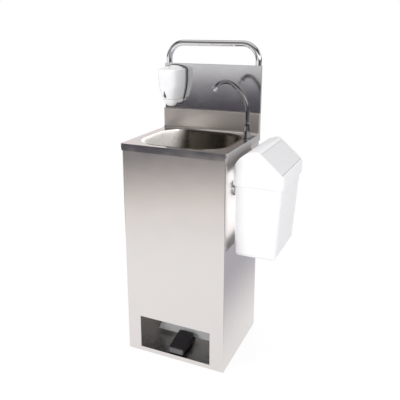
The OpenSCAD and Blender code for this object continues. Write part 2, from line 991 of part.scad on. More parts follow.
module clamp_nuts() {
    reach = handle_r + rest - seat;
    color(steel) at_clamps() translate([clamp_hole_x, -reach, 0]) rotate([-90, 0, 0]) {
        cylinder(h = clamp_stud_h, r = clamp_stud_r);
        translate([0, 0, clamp_t + seat]) cylinder(h = clamp_nut_h, r = clamp_nut_r, $fn = 6);
    }
}

// Tap

module at_tap(z) {
    translate([tap_x, tap_y, z]) children();
}

module tap_body() {
    socket_r = spout_r + run;
    brow = 2;
    waist = 1.5;
    color(chrome) at_tap(tap_z) difference() {
        union() {
            translate([0, 0, -tap_shank_l]) cylinder(h = tap_shank_l, r = tap_shank_r);
            cylinder(h = tap_flange_h, r = tap_flange_r);
            rotate_extrude() polygon([
                [0, 0], [tap_r - waist, 0], [tap_r - waist, tap_flange_h],
                [tap_r, tap_flange_h + 2 * brow], [tap_r, tap_h * 0.6],
                [tap_r - brow, tap_h - 2 * brow], [tap_r - 2 * brow, tap_h], [0, tap_h]
            ]);
        }
        translate([0, 0, tap_h - tap_socket]) cylinder(h = tap_socket + cut, r = socket_r);
        translate([0, 0, -tap_shank_l - cut]) cylinder(h = tap_shank_l + tap_h, r = tap_way_r);
    }
}

module tap_gasket() {
    color(black) at_tap(rim_z + seat) ring(tap_flange_r, tap_shank_r + seat, tap_gasket_t - 2 * seat);
}

module tap_nut() {
    color(chrome) at_tap(deck_z - seat - tap_nut_h) difference() {
        cylinder(h = tap_nut_h, r = tap_nut_r, $fn = 6);
        translate([0, 0, -cut]) cylinder(h = tap_nut_h + 2 * cut, r = tap_shank_r + seat);
    }
}

// Direction of the spout's run at a tilt from upright
function spout_way(tilt) = [
    -sin(tilt) * cos(spout_turn), -sin(tilt) * sin(spout_turn), cos(tilt)
];
spout_z0 = tap_z + tap_h - tap_socket + rest;
spout_z1 = tap_z + tap_h + spout_stand;
spout_lap = 3;
spout_sides = 24;
long_steps = 8;
top_steps = 14;

// Centreline of the spout: reach from the tap and height, at a tilt on either curve
lean_reach = spout_long_r * (1 - cos(spout_lean));
lean_z = spout_z1 + spout_long_r * sin(spout_lean);
dip_reach = lean_reach + spout_top_r * (cos(spout_lean) - cos(spout_dip));
dip_z = lean_z + spout_top_r * (sin(spout_dip) - sin(spout_lean));
spout_tilts = concat(
    [for (i = [0 : long_steps]) spout_lean * i / long_steps],
    [for (i = [1 : top_steps]) spout_lean + (spout_dip - spout_lean) * i / top_steps]
);
function spout_spot(tilt) = tilt <= spout_lean
    ? [spout_long_r * (1 - cos(tilt)), spout_z1 + spout_long_r * sin(tilt)]
    : [lean_reach + spout_top_r * (cos(spout_lean) - cos(tilt)),
       lean_z + spout_top_r * (sin(tilt) - sin(spout_lean))];
function spout_at(reach, z) = [
    tap_x - reach * cos(spout_turn), tap_y - reach * sin(spout_turn), z
];
spout_p3 = spout_at(dip_reach, dip_z) + spout_end * spout_way(spout_dip);

function spout_ring(at, tilt, r) =
    let (across = [-sin(spout_turn), cos(spout_turn), 0], over = cross(across, spout_way(tilt)))
    [for (k = [0 : spout_sides - 1])
        let (a = 360 * k / spout_sides) at + r * (across * cos(a) + over * sin(a))];
function spout_rings(r) = concat(
    [spout_ring(spout_at(0, spout_z1 - spout_lap), 0, r)],
    [for (t = spout_tilts) spout_ring(spout_at(spout_spot(t)[0], spout_spot(t)[1]), t, r)],
    [spout_ring(spout_p3, spout_dip, r)]
);
function reversed(v) = [for (i = [len(v) - 1 : -1 : 0]) v[i]];

module spout() {
    bore = spout_r - spout_wall;
    color(chrome) {
        at_tap(spout_z0) ring(spout_r, bore, spout_z1 - spout_z0);
        skin(concat(spout_rings(spout_r - seat), reversed(spout_rings(bore + seat))));
    }
}

module spout_outlet() {
    grip_r = spout_r + seat;
    out_r = grip_r + outlet_wall;
    way = spout_way(spout_dip);
    color(chrome) aim(spout_p3 - (outlet_grip - seat) * way, way) rotate_extrude() polygon([
        [grip_r, 0], [out_r, 0], [out_r, outlet_grip], [out_r + outlet_flare / 2, outlet_l * 0.7],
        [out_r + outlet_flare, outlet_l], [out_r + outlet_flare - outlet_wall, outlet_l],
        [spout_r - spout_wall, outlet_grip], [grip_r, outlet_grip]
    ]);
}

// Foot pump

function pad_top(y) = pedal_front_h + (pedal_rear_h - pedal_front_h) * y / (pedal_l - hump_r);

// Side view of the pedal, in by t, with its rear hump in steps
hump_steps = 10;
function hump_point(i, t) =
    let (a = 100 * (1 - i / hump_steps))
    [pedal_l - hump_r + (hump_r - t) * cos(a), pedal_rear_h - hump_r + (hump_r - t) * sin(a)];
module pedal_side(t, low) {
    polygon(concat(
        [[t, low], [t, pad_top(t) - t]],
        [for (i = [0 : hump_steps]) hump_point(i, t)],
        [[pedal_l - t, low > 0 ? pad_tail : low], [low > 0 ? pivot_in : pedal_l / 2, low]]
    ));
}

// Plan of the pedal, in by t
module pedal_plan(t) {
    w = pedal_w / 2 - t;
    f = pad_front_r - t / 2;
    r = pad_rear_r - t;
    for (s = [-1, 1]) {
        translate([s * (w - f), t + f]) circle(f);
        translate([s * (w - r), pedal_l - t - r]) circle(r);
    }
    translate([-w, t + f]) square([2 * w, pedal_l - 2 * t - f - r]);
    translate([-w + f, t]) square([2 * (w - f), pedal_l / 2]);
    translate([-w + r, pedal_l / 2]) square([2 * (w - r), pedal_l / 2 - t]);
}

module at_pedal() {
    translate([pedal_x, pedal_y, base_z]) children();
}

module pedal_pad() {
    color(black) at_pedal() difference() {
        intersection() {
            along_x(pedal_w) pedal_side(0, pad_lift);
            linear_extrude(2 * pedal_rear_h) pedal_plan(0);
        }
        intersection() {
            along_x(pedal_w) pedal_side(pedal_rubber, -cut);
            translate([0, 0, -cut]) linear_extrude(2 * pedal_rear_h) pedal_plan(pedal_rubber);
        }
    }
}

module treadle() {
    t = pedal_rubber + seat;
    end = pedal_l - hump_r;
    under = t + treadle_t;
    color(grey) at_pedal() difference() {
        union() {
            intersection() {
                along_x(pedal_w) polygon([[t, pad_top(t) - t], [end, pad_top(end) - t],
                    [end, pad_top(end) - under], [t, pad_top(t) - under]]);
                linear_extrude(2 * pedal_rear_h) pedal_plan(t);
            }
            for (s = [-1, 1]) translate([s * lug_x, 0, 0]) along_x(lug_w) {
                translate([pivot_in, pivot_up]) circle(ear_r);
                polygon([[pivot_in - ear_r, pivot_up], [pivot_in + ear_r, pivot_up],
                    [pivot_in + ear_r, pad_top(pivot_in + ear_r) - t - treadle_t / 2],
                    [pivot_in - ear_r, pad_top(pivot_in - ear_r) - t - treadle_t / 2]]);
            }
            intersection() {
                translate([0, bellows_in, 0]) cylinder(h = 2 * pedal_rear_h, r = bellows_r - pump_side);
                along_x(pedal_w) polygon([[bellows_in - bellows_r, bellows_top],
                    [end, bellows_top], [end, pad_top(end) - t - treadle_t / 2],
                    [bellows_in - bellows_r, pad_top(bellows_in - bellows_r) - t - treadle_t / 2]]);
            }
        }
        translate([0, pivot_in, pivot_up]) rotate([0, 90, 0])
            cylinder(h = pedal_w, r = pin_r + run, center = true);
    }
}

module treadle_pin() {
    color(steel) at_pedal() translate([0, pivot_in, pivot_up]) rotate([0, 90, 0])
        cylinder(h = 2 * ear_x + ear_w, r = pin_r, center = true);
}

module pump_base() {
    w = pedal_w - 2 * (pedal_rubber + pump_side);
    y0 = pedal_rubber + pump_side;
    l = block_y + block_l - pedal_y - y0;
    color(grey) at_pedal() difference() {
        union() {
            translate([0, y0 + l / 2, seat]) linear_extrude(pump_plate_t - seat)
                rounded(w, l, pad_front_r);
            for (s = [-1, 1]) translate([s * ear_x, 0, 0]) along_x(ear_w) {
                translate([pivot_in, pivot_up]) circle(ear_r - seat);
                translate([pivot_in - ear_r + seat, pump_plate_t / 2])
                    square([2 * (ear_r - seat), pivot_up - pump_plate_t / 2]);
            }
            translate([0, bellows_in, seat])
                cylinder(h = pump_plate_t + pump_seat_h - seat, r = bellows_r + pump_side);
            translate([-block_w / 2, block_y - pedal_y, seat]) cube([block_w, block_l, block_h]);
            for (s = [-1, 1])
                translate([s * port_x, block_y + block_l - pedal_y - cut, pipe_z - base_z])
                    rotate([-90, 0, 0]) cylinder(h = port_l + cut, r = port_r);
        }
        translate([0, pivot_in, pivot_up]) rotate([0, 90, 0])
            cylinder(h = pedal_w, r = pin_r + seat, center = true);
    }
}

module pump_bellows() {
    h = bellows_top_z - pump_seat_z - 2 * seat;
    half = 2 * bellows_folds;
    function r_at(i) = i % 2 == 0 ? bellows_r - bellows_fold : bellows_r;
    color(black) translate([pedal_x, bellows_y, pump_seat_z + seat]) rotate_extrude() polygon(concat(
        [for (i = [0 : half]) [r_at(i), h * i / half]],
        [for (i = [half : -1 : 0]) [r_at(i) - bellows_wall, h * i / half]]
    ));
}

// Ring of the spring's wire at a turn of t degrees
spring_h = bellows_top_z - pump_seat_z - 2 * (spring_wire_r + rest);
function wire_ring(t) =
    let (z = spring_h * t / (360 * spring_turns))
    [for (k = [0 : spring_sides - 1])
        let (a = 360 * k / spring_sides, r = spring_r + spring_wire_r * cos(a))
            [r * cos(t), r * sin(t), z + spring_wire_r * sin(a)]];

module pump_spring() {
    color(steel) translate([pedal_x, bellows_y, pump_seat_z + spring_wire_r + rest])
        loft([for (t = [0 : 360 / spring_steps : 360 * spring_turns]) wire_ring(t)]);
}

// Water pipes

suction_route = [
    [pedal_x - port_x, pipe_start_y, pipe_z],
    [pedal_x - port_x, cap_y, pipe_z],
    [-pipe_x, cap_y, pipe_z],
    [-pipe_x, cap_y, nipple_z + suction_top],
    [-can_x, cap_y, nipple_z + suction_top],
    [-can_x, cap_y, nipple_z + rest]
];
supply_route = [
    [pedal_x + port_x, pipe_start_y, pipe_z],
    [pedal_x + port_x, tap_y, pipe_z],
    [tap_x, tap_y, pipe_z],
    [tap_x, tap_y, tap_tail_z - seat]
];

module suction_pipe() {
    color(natural) run_tube(suction_route, [for (k = [1 : 4]) pipe_bend], pipe_r, pipe_bore_r);
}

module supply_pipe() {
    color(natural) run_tube(supply_route, [for (k = [1 : 2]) pipe_bend], pipe_r, pipe_bore_r);
}

// Block between the side wall and a pipe, on side s
module clip(s, y, z) {
    reach = in_w - pipe_x - seat;
    translate([s * pipe_x, y, z]) mirror([s < 0 ? 1 : 0, 0, 0]) difference() {
        translate([-pipe_r - clip_edge, -clip_l / 2, 0])
            cube([reach + pipe_r + clip_edge, clip_l, clip_h]);
        translate([0, 0, -cut]) cylinder(h = clip_h + 2 * cut, r = pipe_r + seat);
    }
}

module pipe_clips() {
    color(grey) {
        clip(-1, cap_y, clip_low_z);
        clip(-1, cap_y, suction_clip_z);
        clip(1, tap_y, clip_low_z);
        clip(1, tap_y, clip_high_z);
    }
}

module shelf_grommets() {
    color(black) for (p = [[-pipe_x, cap_y], [pipe_x, tap_y]])
        translate([p[0], p[1], shelf_under - seat - grommet_flange_h]) difference() {
            union() {
                cylinder(h = grommet_flange_h, r = grommet_flange_r);
                cylinder(h = sheet + 2 * (seat + grommet_flange_h), r = grommet_hole_r - seat);
                translate([0, 0, grommet_flange_h + sheet + 2 * seat])
                    cylinder(h = grommet_flange_h, r = grommet_flange_r);
            }
            translate([0, 0, -cut])
                cylinder(h = sheet + 3 * grommet_flange_h + 2 * cut, r = pipe_r + seat);
        }
}

// Water cans

// Box with every edge rounded, centred on its own middle
module pillow(w, d, h, r) {
    intersection() {
        linear_extrude(h, center = true) rounded(w, d, r);
        rotate([90, 0, 0]) linear_extrude(d, center = true) rounded(w, h, r);
        rotate([90, 0, 90]) linear_extrude(w, center = true) rounded(d, h, r);
    }
}

module can(x) {
    color(natural) difference() {
        union() {
            translate([x, can_y, (can_z0 + can_z1) / 2]) {
                pillow(can_w, can_d, can_h, can_round);
                for (s = can_rib_shares) translate([0, 0, (s - 0.5) * can_h - can_rib_h / 2])
                    linear_extrude(can_rib_h)
                        rounded(can_w + 2 * can_rib_out, can_d + 2 * can_rib_out, can_round);
            }
            translate([x, cap_y, can_z1 - can_wall]) cylinder(h = neck_h + can_wall, r = neck_r);
            translate([x, grip_y, can_z1 + (grip_h - grip_root) / 2]) along_x(grip_w) difference() {
                rounded(grip_l, grip_h + grip_root, grip_t);
                translate([0, -grip_t / 2])
                    rounded(grip_l - 2 * grip_t, grip_h + grip_root - grip_t, grip_t / 2);
            }
        }
        translate([x, can_y, (can_z0 + can_z1) / 2])
            pillow(can_w - 2 * can_wall, can_d - 2 * can_wall, can_h - 2 * can_wall,
                can_round - can_wall);
        translate([x, cap_y, can_z1 - 2 * can_wall])
            cylinder(h = neck_h + 3 * can_wall, r = neck_r - neck_wall);
    }
}

module fresh_can() {
    can(-can_x);
}

module waste_can() {
    can(can_x);
}

module fresh_can_cap() {
    grip_r = neck_r + seat;
    out_r = grip_r + cap_wall;
    dip_l = neck_z - can_z0 - can_wall - dip_gap;
    color("royalblue") translate([-can_x, cap_y, cap_z]) difference() {
        union() {
            cylinder(h = cap_top, r = out_r);
            translate([0, 0, -cap_skirt]) ring(out_r, grip_r, cap_skirt + seat);
            for (k = [0 : cap_ribs - 1]) rotate(360 / cap_ribs * k)
                translate([out_r, 0, -cap_skirt]) cylinder(h = cap_skirt + cap_top, r = cap_rib_r);
            cylinder(h = cap_top + nipple_h, r = nipple_r);
            translate([0, 0, -dip_l]) cylinder(h = dip_l, r = dip_r);
        }
        translate([0, 0, -dip_l - cut])
            cylinder(h = dip_l + cap_top + nipple_h + 2 * cut, r = pipe_bore_r);
    }
}

module waste_funnel() {
    tail_r = neck_r - neck_wall - seat;
    lip_r = neck_r + funnel_lip;
    color("royalblue") translate([can_x, cap_y, funnel_z]) rotate_extrude() polygon([
        [tail_r - funnel_wall, -funnel_tail], [tail_r, -funnel_tail], [tail_r, 0], [lip_r, 0],
        [lip_r, funnel_wall], [funnel_out_r, funnel_wall + funnel_h],
        [funnel_out_r - funnel_wall, funnel_wall + funnel_h],
        [tail_r - funnel_wall, funnel_wall]
    ]);
}

// Wheels

module axle_brackets() {
    half = bracket_half;
    y0 = axle_y - bracket_in;
    color(steel) for (s = [-1, 1]) translate([s * wheel_x, 0, base_z + seat]) difference() {
        union() {
            translate([-half - bracket_wall, y0 - bracket_wall, 0])
                cube([2 * (half + bracket_wall), bracket_wall, bracket_h]);
            for (a = [-1, 1]) translate([a * (half + bracket_wall / 2), 0, 0]) along_x(bracket_wall) {
                translate([y0 - bracket_wall, 0])
                    square([bracket_in + bracket_wall, bracket_h]);
                translate([axle_y, bracket_h / 2]) circle(bracket_h / 2);
            }
            translate([-half - bracket_wall, y0 - bracket_wall - bracket_foot, 0])
                cube([2 * (half + bracket_wall), bracket_foot + bracket_wall, bracket_wall]);
        }
        translate([0, axle_y, axle_z - base_z - seat]) rotate([0, 90, 0])
            cylinder(h = 3 * half, r = axle_r + seat, center = true);
    }
}

axle_end = wheel_x + bracket_half + bracket_wall + axle_over;

module wheel_axle() {
    color(steel) translate([0, axle_y, axle_z]) rotate([0, 90, 0])
        cylinder(h = 2 * axle_end, r = axle_r, center = true);
}

module axle_caps() {
    color(black) for (s = [-1, 1])
        translate([s * (wheel_x + bracket_half + bracket_wall + seat), axle_y, axle_z])
            rotate([0, 90 * s, 0]) difference() {
                union() {
                    cylinder(h = cap_nut_h / 2, r = cap_nut_r);
                    cylinder(h = cap_nut_h, r = cap_nut_r * 0.8);
                }
                translate([0, 0, -cut]) cylinder(h = cap_nut_h + 2 * cut, r = axle_r + seat);
            }
}

module at_wheel(s) {
    translate([s * wheel_x, axle_y, axle_z]) rotate([0, 90, 0]) children();
}

module wheel_hub(s) {
    color(grey) at_wheel(s) difference() {
        union() {
            difference() {
                cylinder(h = wheel_w, r = hub_r, center = true);
                cylinder(h = wheel_w + 2 * cut, r = hub_r - hub_rim, center = true);
            }
            cylinder(h = hub_web, r = hub_r - hub_rim / 2, center = true);
            cylinder(h = hub_boss_l, r = hub_boss_r, center = true);
            for (k = [0 : hub_spokes - 1]) rotate(360 / hub_spokes * k)
                translate([0, -hub_spoke_w / 2, -wheel_w * 0.4])
                    cube([hub_r - hub_rim / 2, hub_spoke_w, wheel_w * 0.8]);
        }
        cylinder(h = hub_boss_l + 2 * cut, r = axle_r + run, center = true);
    }
}

module wheel_tyre(s) {
    tread = 4;
    color(black) at_wheel(s) difference() {
        union() {
            cylinder(h = wheel_w - 2 * tread, r = wheel_r, center = true);
            cylinder(h = wheel_w, r = wheel_r - tread, center = true);
            for (a = [-1, 1]) translate([0, 0, a * (wheel_w / 2 - tread)])
                rotate_extrude() translate([wheel_r - tread, 0]) circle(tread);
        }
        cylinder(h = wheel_w + 2 * cut, r = hub_r + seat, center = true);
    }
}

module wheel_hub_left() { wheel_hub(-1); }
module wheel_tyre_left() { wheel_tyre(-1); }
module wheel_hub_right() { wheel_hub(1); }
module wheel_tyre_right() { wheel_tyre(1); }

// Soap dispenser

// Half widths and depths of the cover by height, from the lever's foot to the rim
cover_shares = [
    [0, 0.70, 0.80], [0.12, 0.79, 0.87], [0.27, 0.88, 0.93], [0.42, 0.95, 0.97],
    [0.6, 0.99, 0.99], [0.8, 1, 1], [1, 1, 1]
];
lever_shares = [
    [0, 0.30, 0.56], [0.1, 0.42, 0.64], [0.3, 0.54, 0.71], [0.6, 0.63, 0.765], [1, 0.695, 0.798]
];
dome_shares = [0.85, 0.65, 0.45, 0.25, 0.05];
cover_steps = 18;

// Half oval of the cover, standing on its straight back edge
function cover_ring(w, d, back, z) = [
    for (i = [0 : cover_steps])
        let (a = 180 * i / cover_steps) [soap_x + w * cos(a), back - d * sin(a), z]
];
function cover_rise(s) = soap_rim_z + soap_arch * (1 - s * s);
function half_soap(share, t) = share * soap_w / 2 - t;
function cover_rings(t, back, low) = concat(
    low > 0 ? [cover_ring(half_soap(cover_shares[0][1], t), soap_d * cover_shares[0][2] - t,
        back, soap_z0 - low)] : [],
    [for (c = cover_shares) cover_ring(half_soap(c[1], t), soap_d * c[2] - t, back,
        soap_z0 + (soap_h - t) * c[0])],
    [for (s = dome_shares) cover_ring(s * (soap_w / 2 - t), s * (soap_d - t), back,
        cover_rise(s) - t)]
);

module cover_solid(t, back, low) {
    loft(cover_rings(t, back, low));
}

module hinge_bar(half, r) {
    translate([soap_x, hinge_y, hinge_z]) rotate([0, 90, 0])
        cylinder(h = 2 * half, r = r, center = true);
}

// Water drop outline pointing up, cut square to the cover's left front
module drop_prism(fit) {
    translate([soap_x - drop_x, cover_back - soap_d * 0.7, soap_z0 + drop_up])
        rotate([0, 0, -drop_angle]) rotate([90, 0, 0]) linear_extrude(soap_d / 2) {
            circle(drop_r - fit);
            polygon([[-drop_r + fit, 0], [drop_r - fit, 0], [0, drop_h - 2 * fit]]);
        }
}

module soap_cover() {
    slot = hinge_half + rest;
    back = 2 * hinge_r + rest;
    color(white) difference() {
        union() {
            difference() {
                cover_solid(0, cover_back, 0);
                cover_solid(soap_wall, cover_back + cut, cut);
                drop_prism(0);
                translate([soap_x - slot, hinge_y - hinge_r - rest, hinge_z - hinge_r - rest])
                    cube([2 * slot, soap_d, soap_arch]);
            }
            hinge_bar(knuckle_half, hinge_r);
            translate([soap_x - knuckle_half, hinge_y - back, hinge_z - hinge_r])
                cube([2 * knuckle_half, back, 2 * hinge_r]);
        }
        hinge_bar(hinge_half, hinge_pin_r + run);
    }
}

module level_window() {
    skin_t = 0.4;
    color(grey) intersection() {
        drop_prism(drop_fit);
        difference() {
            cover_solid(skin_t, cover_back, 0);
            cover_solid(soap_wall - skin_t, cover_back + cut, cut);
        }
    }
}

module soap_hinge_pin() {
    color(steel) hinge_bar(hinge_half, hinge_pin_r);
}

soap_screw_zs = [soap_z0 + soap_screw_up, soap_rim_z - soap_screw_up / 2];
plate_z0 = soap_z0 - skirt_h;

// Outline of the back plate, wider than the cover by edge
function plate_outline(edge) = concat(
    [for (c = cover_shares) [soap_x + half_soap(c[1], -edge), soap_z0 + soap_h * c[0]]],
    [for (k = [9 : -1 : -9]) let (s = k / 10)
        [soap_x + s * (soap_w / 2 + edge), cover_rise(s) + edge]],
    [for (i = [len(cover_shares) - 1 : -1 : 0]) let (c = cover_shares[i])
        [soap_x - half_soap(c[1], -edge), soap_z0 + soap_h * c[0]]],
    [[soap_x - half_soap(0.55, -edge), plate_z0], [soap_x + half_soap(0.55, -edge), plate_z0]]
);

module soap_back_plate() {
    w = hinge_half - knuckle_half - rest;
    color(grey) difference() {
        union() {
            translate([0, plate_front + plate_t, 0]) rotate([90, 0, 0]) linear_extrude(plate_t)
                polygon(plate_outline(plate_edge));
            for (s = [-1, 1])
                translate([soap_x + s * (hinge_half + knuckle_half + rest) / 2, hinge_y, hinge_z]) {
                    rotate([0, 90, 0]) cylinder(h = w, r = hinge_r, center = true);
                    translate([-w / 2, 0, -hinge_r])
                        cube([w, plate_front + plate_t / 2 - hinge_y, hinge_r]);
                }
            for (s = [-1, 1]) translate([soap_x + s * bottle_w * 0.32 - shelf_arm / 2,
                bottle_y - bottle_d * 0.3, bottle_z - seat - shelf_t])
                    cube([shelf_arm, plate_front + plate_t / 2 - bottle_y + bottle_d * 0.3, shelf_t]);
            for (s = [-1, 1]) translate([soap_x + s * (lever_lug_x + rest + lever_lug_w / 2), 0, 0])
                along_x(lever_lug_w) translate([0, lever_z]) {
                    translate([lever_y, 0]) circle(lever_lug_r);
                    translate([lever_y, -lever_lug_r])
                        square([plate_front + plate_t / 2 - lever_y, 2 * lever_lug_r]);
                }
            for (s = [-1, 1]) translate([soap_x + s * (lever_lug_x + rest - lever_pin_l / 2 + seat),
                lever_y, lever_z]) rotate([0, 90, 0])
                    cylinder(h = lever_pin_l, r = lever_pin_r, center = true);
        }
        hinge_bar(hinge_half + cut, hinge_pin_r + seat);
        for (z = soap_screw_zs) translate([soap_x, plate_front - cut, z]) rotate([-90, 0, 0])
            cylinder(h = plate_t + 2 * cut, r = soap_screw_r + seat);
    }
}

module soap_screws() {
    l = plate_t + sheet + soap_screw_over;
    color(steel) for (z = soap_screw_zs)
        translate([soap_x, plate_front - seat, z]) rotate([-90, 0, 0]) {
            cylinder(h = l, r = soap_screw_r);
            translate([0, 0, -soap_screw_head_h])
                cylinder(h = soap_screw_head_h, r = soap_screw_head_r);
        }
}

module soap_bottle() {
    color(natural) translate([soap_x, bottle_y, bottle_z]) difference() {
        linear_extrude(bottle_h) rounded(bottle_w, bottle_d, bottle_r);
        translate([0, 0, bottle_wall]) linear_extrude(bottle_h)
            rounded(bottle_w - 2 * bottle_wall, bottle_d - 2 * bottle_wall, bottle_r - bottle_wall);
    }
}

module soap_pump() {
    color(natural) translate([soap_x, bottle_y, bottle_z - seat]) {
        translate([0, 0, -soap_pump_h]) cylinder(h = soap_pump_h, r = soap_pump_r);
        translate([0, 0, -soap_pump_h - nozzle_h]) cylinder(h = nozzle_h, r = nozzle_r);
    }
}

lever_y = cover_back - lever_pivot_in;
lever_z = soap_z0 - lever_pivot_down - seam;

// Shell of the part below the cover, from height z0 and between y0 and y1, with a floor
module lower_shell(z0, y0, y1, back, floor_t) {
    foot = soap_z0 - lever_h;
    top = soap_z0 - seam;
    outer = [for (c = lever_shares) cover_ring(half_soap(c[1], 0), soap_d * c[2], back,
        foot + (top - foot) * c[0])];
    inner = [for (c = lever_shares) cover_ring(half_soap(c[1], soap_wall),
        soap_d * c[2] - soap_wall, back + cut,
        c[0] == 0 ? foot + soap_wall / 2 : c[0] == 1 ? top + cut : foot + (top - foot) * c[0])];
    intersection() {
        difference() {
            loft(outer);
            difference() {
                loft(inner);
                translate([soap_x - soap_w, y0, z0]) cube([2 * soap_w, soap_d, floor_t]);
            }
        }
        translate([soap_x - soap_w, y0, z0]) cube([2 * soap_w, y1 - y0, top + cut - z0]);
    }
}

module soap_skirt() {
    color(white) difference() {
        lower_shell(plate_z0, cover_back - skirt_front, plate_front, plate_front - seat,
            soap_wall);
        translate([soap_x, bottle_y, plate_z0 - cut])
            cylinder(h = soap_wall + 2 * cut, r = nozzle_r + rest);
    }
}

module soap_lever() {
    color(white) difference() {
        union() {
            lower_shell(soap_z0 - lever_h - cut, cover_back - soap_d, cover_back - lever_edge,
                cover_back, cut + soap_wall / 2);
            for (s = [-1, 1])
                translate([soap_x + s * (lever_lug_x - lever_arm_w / 2), 0, 0]) along_x(lever_arm_w)
                    translate([0, lever_z]) {
                        translate([lever_y, 0]) circle(lever_lug_r);
                        translate([cover_back - lever_reach, -lever_lug_r])
                            square([lever_y - cover_back + lever_reach, 2 * lever_lug_r]);
                    }
        }
        translate([soap_x, lever_y, lever_z]) rotate([0, 90, 0])
            cylinder(h = 3 * lever_lug_x, r = lever_pin_r + run, center = true);
    }
}

// Bin

// Side view of the lid's outside; the inside is the same outline in by t
module lid_side(t) {
    arc_r = lid_apex_x - lid_x0;
    low = t > 0 ? lid_z - cut : lid_z;
    fall = t / cos(slope_tilt);
    translate([lid_x0 + t, low]) square([arc_r - t, apex_z - arc_r - low]);
    intersection() {
        translate([lid_apex_x, apex_z - arc_r]) circle(arc_r - t);
        translate([lid_x0, apex_z - arc_r]) square([arc_r, arc_r]);
    }
    polygon([[lid_apex_x, low], [lid_x1 - t, low],
        [lid_x1 - t, apex_z - fall - (slope_run - t) * tan(slope_tilt)],
        [lid_apex_x, apex_z - fall]]);
}

module lid_plan(t) {
    translate([(lid_x0 + lid_x1) / 2, bin_y]) rounded(lid_w - 2 * t, lid_l - 2 * t, bin_round - t);
}

// Stand on the lid's slope: X down the slope, Y along it, Z out of it, from the apex edge
module on_slope() {
    u = [cos(slope_tilt), 0, -sin(slope_tilt)];
    n = [sin(slope_tilt), 0, cos(slope_tilt)];
    frame_at(u, [0, 1, 0], n, [lid_apex_x, lid_y0, apex_z]) children();
}

// Round bar across the slope at the flap's pivot, from y to y + l of the lid's length
module pivot_bar(y, l, r) {
    on_slope() translate([flap_pivot, y, -flap_sink]) rotate([-90, 0, 0]) cylinder(h = l, r = r);
}

flap_w = lid_l - 2 * (flap_side + flap_gap);
flap_under = flap_in + flap_t;

module bin_lid() {
    boss_l = flap_side - bin_wall / 2;
    color(white) difference() {
        intersection() {
            translate([0, lid_y0, 0]) along_y(lid_l) lid_side(0);
            linear_extrude(2 * rim_z) lid_plan(0);
        }
        difference() {
            intersection() {
                translate([0, lid_y0 + bin_wall, 0]) along_y(lid_l - 2 * bin_wall)
                    lid_side(bin_wall);
                linear_extrude(2 * rim_z) lid_plan(bin_wall);
            }
            difference() {
                translate([0, 0, bin_top_z + seat]) linear_extrude(bin_wall) lid_plan(0);
                translate([0, 0, bin_top_z - cut]) linear_extrude(bin_wall + 3 * cut)
                    lid_plan(lid_ledge);
            }
            pivot_bar(bin_wall / 2, boss_l, flap_boss_r);
            pivot_bar(lid_l - flap_side, boss_l, flap_boss_r);
            on_slope() translate([flap_top - stop_l, bin_wall / 2, -flap_under - rest - stop_t])
                cube([2 * stop_l, lid_l - bin_wall, stop_t]);
            on_slope() translate([flap_top - stop_l, bin_wall / 2, -flap_under - rest - stop_t])
                cube([stop_l - flap_gap, lid_l - bin_wall, flap_under + rest + stop_t - flap_in]);
        }
        on_slope() translate([flap_top, flap_side, -flap_under - rest])
            cube([slope_l - flap_top - flap_low, lid_l - 2 * flap_side, flap_under + rest + cut]);
        pivot_bar(flap_side + flap_gap - flap_pin_l - rest, lid_l
            - 2 * (flap_side + flap_gap - flap_pin_l - rest), flap_pin_r + run);
    }
}

module bin_flap() {
    y0 = flap_side + flap_gap;
    color(white) {
        on_slope() translate([flap_top + flap_gap, y0, -flap_under])
            cube([slope_l - flap_top - flap_low - 2 * flap_gap, flap_w, flap_t]);
        pivot_bar(y0, flap_w, flap_sink - flap_in);
        pivot_bar(y0 - flap_pin_l, flap_w + 2 * flap_pin_l, flap_pin_r);
    }
}

// Ring of the bin's body at share s of its height, in by t
function bin_ring(s, t, z) =
    let (a = (bin_x1 - bin_x0 - bin_side_taper * (1 - s)) / 2,
        b = lid_l / 2 - bin_step - bin_end_taper * (1 - s))
    box_ring(a - t, b - t, bin_round - bin_step / 2 - min(t, bin_wall), bin_x0 + a, bin_y, z);
bin_height = bin_top_z - bin_z0;
bin_base_shares = [[0, 0], [0.35, 0.06], [0.7, 0.29], [1, 1]];
function bin_rings(t, top) = concat(
    [for (c = bin_base_shares) bin_ring(0, t + bin_base_r * (1 - c[0]), bin_z0 + t + bin_base_r * c[1])],
    [bin_ring(1, t, top)]
);

module bin_body() {
    rib_y = lid_l / 2 - bin_panel_in;
    lip_x = half_w + rest + bracket_t + hook_back;
    color(white) {
        difference() {
            union() {
                loft(bin_rings(0, bin_top_z));
                intersection() {
                    loft(bin_rings(-bin_rib_out, bin_top_z));
                    for (s = [-1, 1])
                        translate([bin_x0 + bin_base_r * 2, bin_y + s * rib_y - bin_rib_w / 2,
                            bin_z0 + bin_base_r]) cube([lid_w, bin_rib_w, bin_height * 0.88]);
                }
            }
            loft(bin_rings(bin_wall, bin_top_z + cut));
        }
        translate([lip_x, bin_y - hook_l / 2, rail_top + rest])
            cube([bin_x0 + bin_wall / 2 - lip_x, hook_l, 2 * hook_t]);
        translate([lip_x, bin_y - hook_l / 2, rail_top + rest + hook_t - hook_drop - hook_t])
            cube([hook_lip, hook_l, hook_drop + hook_t]);
    }
}

// Bin bracket

bracket_x = half_w + rest;
rail_top = rail_z + rail_up;

module bracket_holes(r) {
    for (y = bracket_screw_ys) translate([bracket_x - cut, y, bracket_screw_z])
        rotate([0, 90, 0]) cylinder(h = bracket_t + 2 * cut, r = r);
}

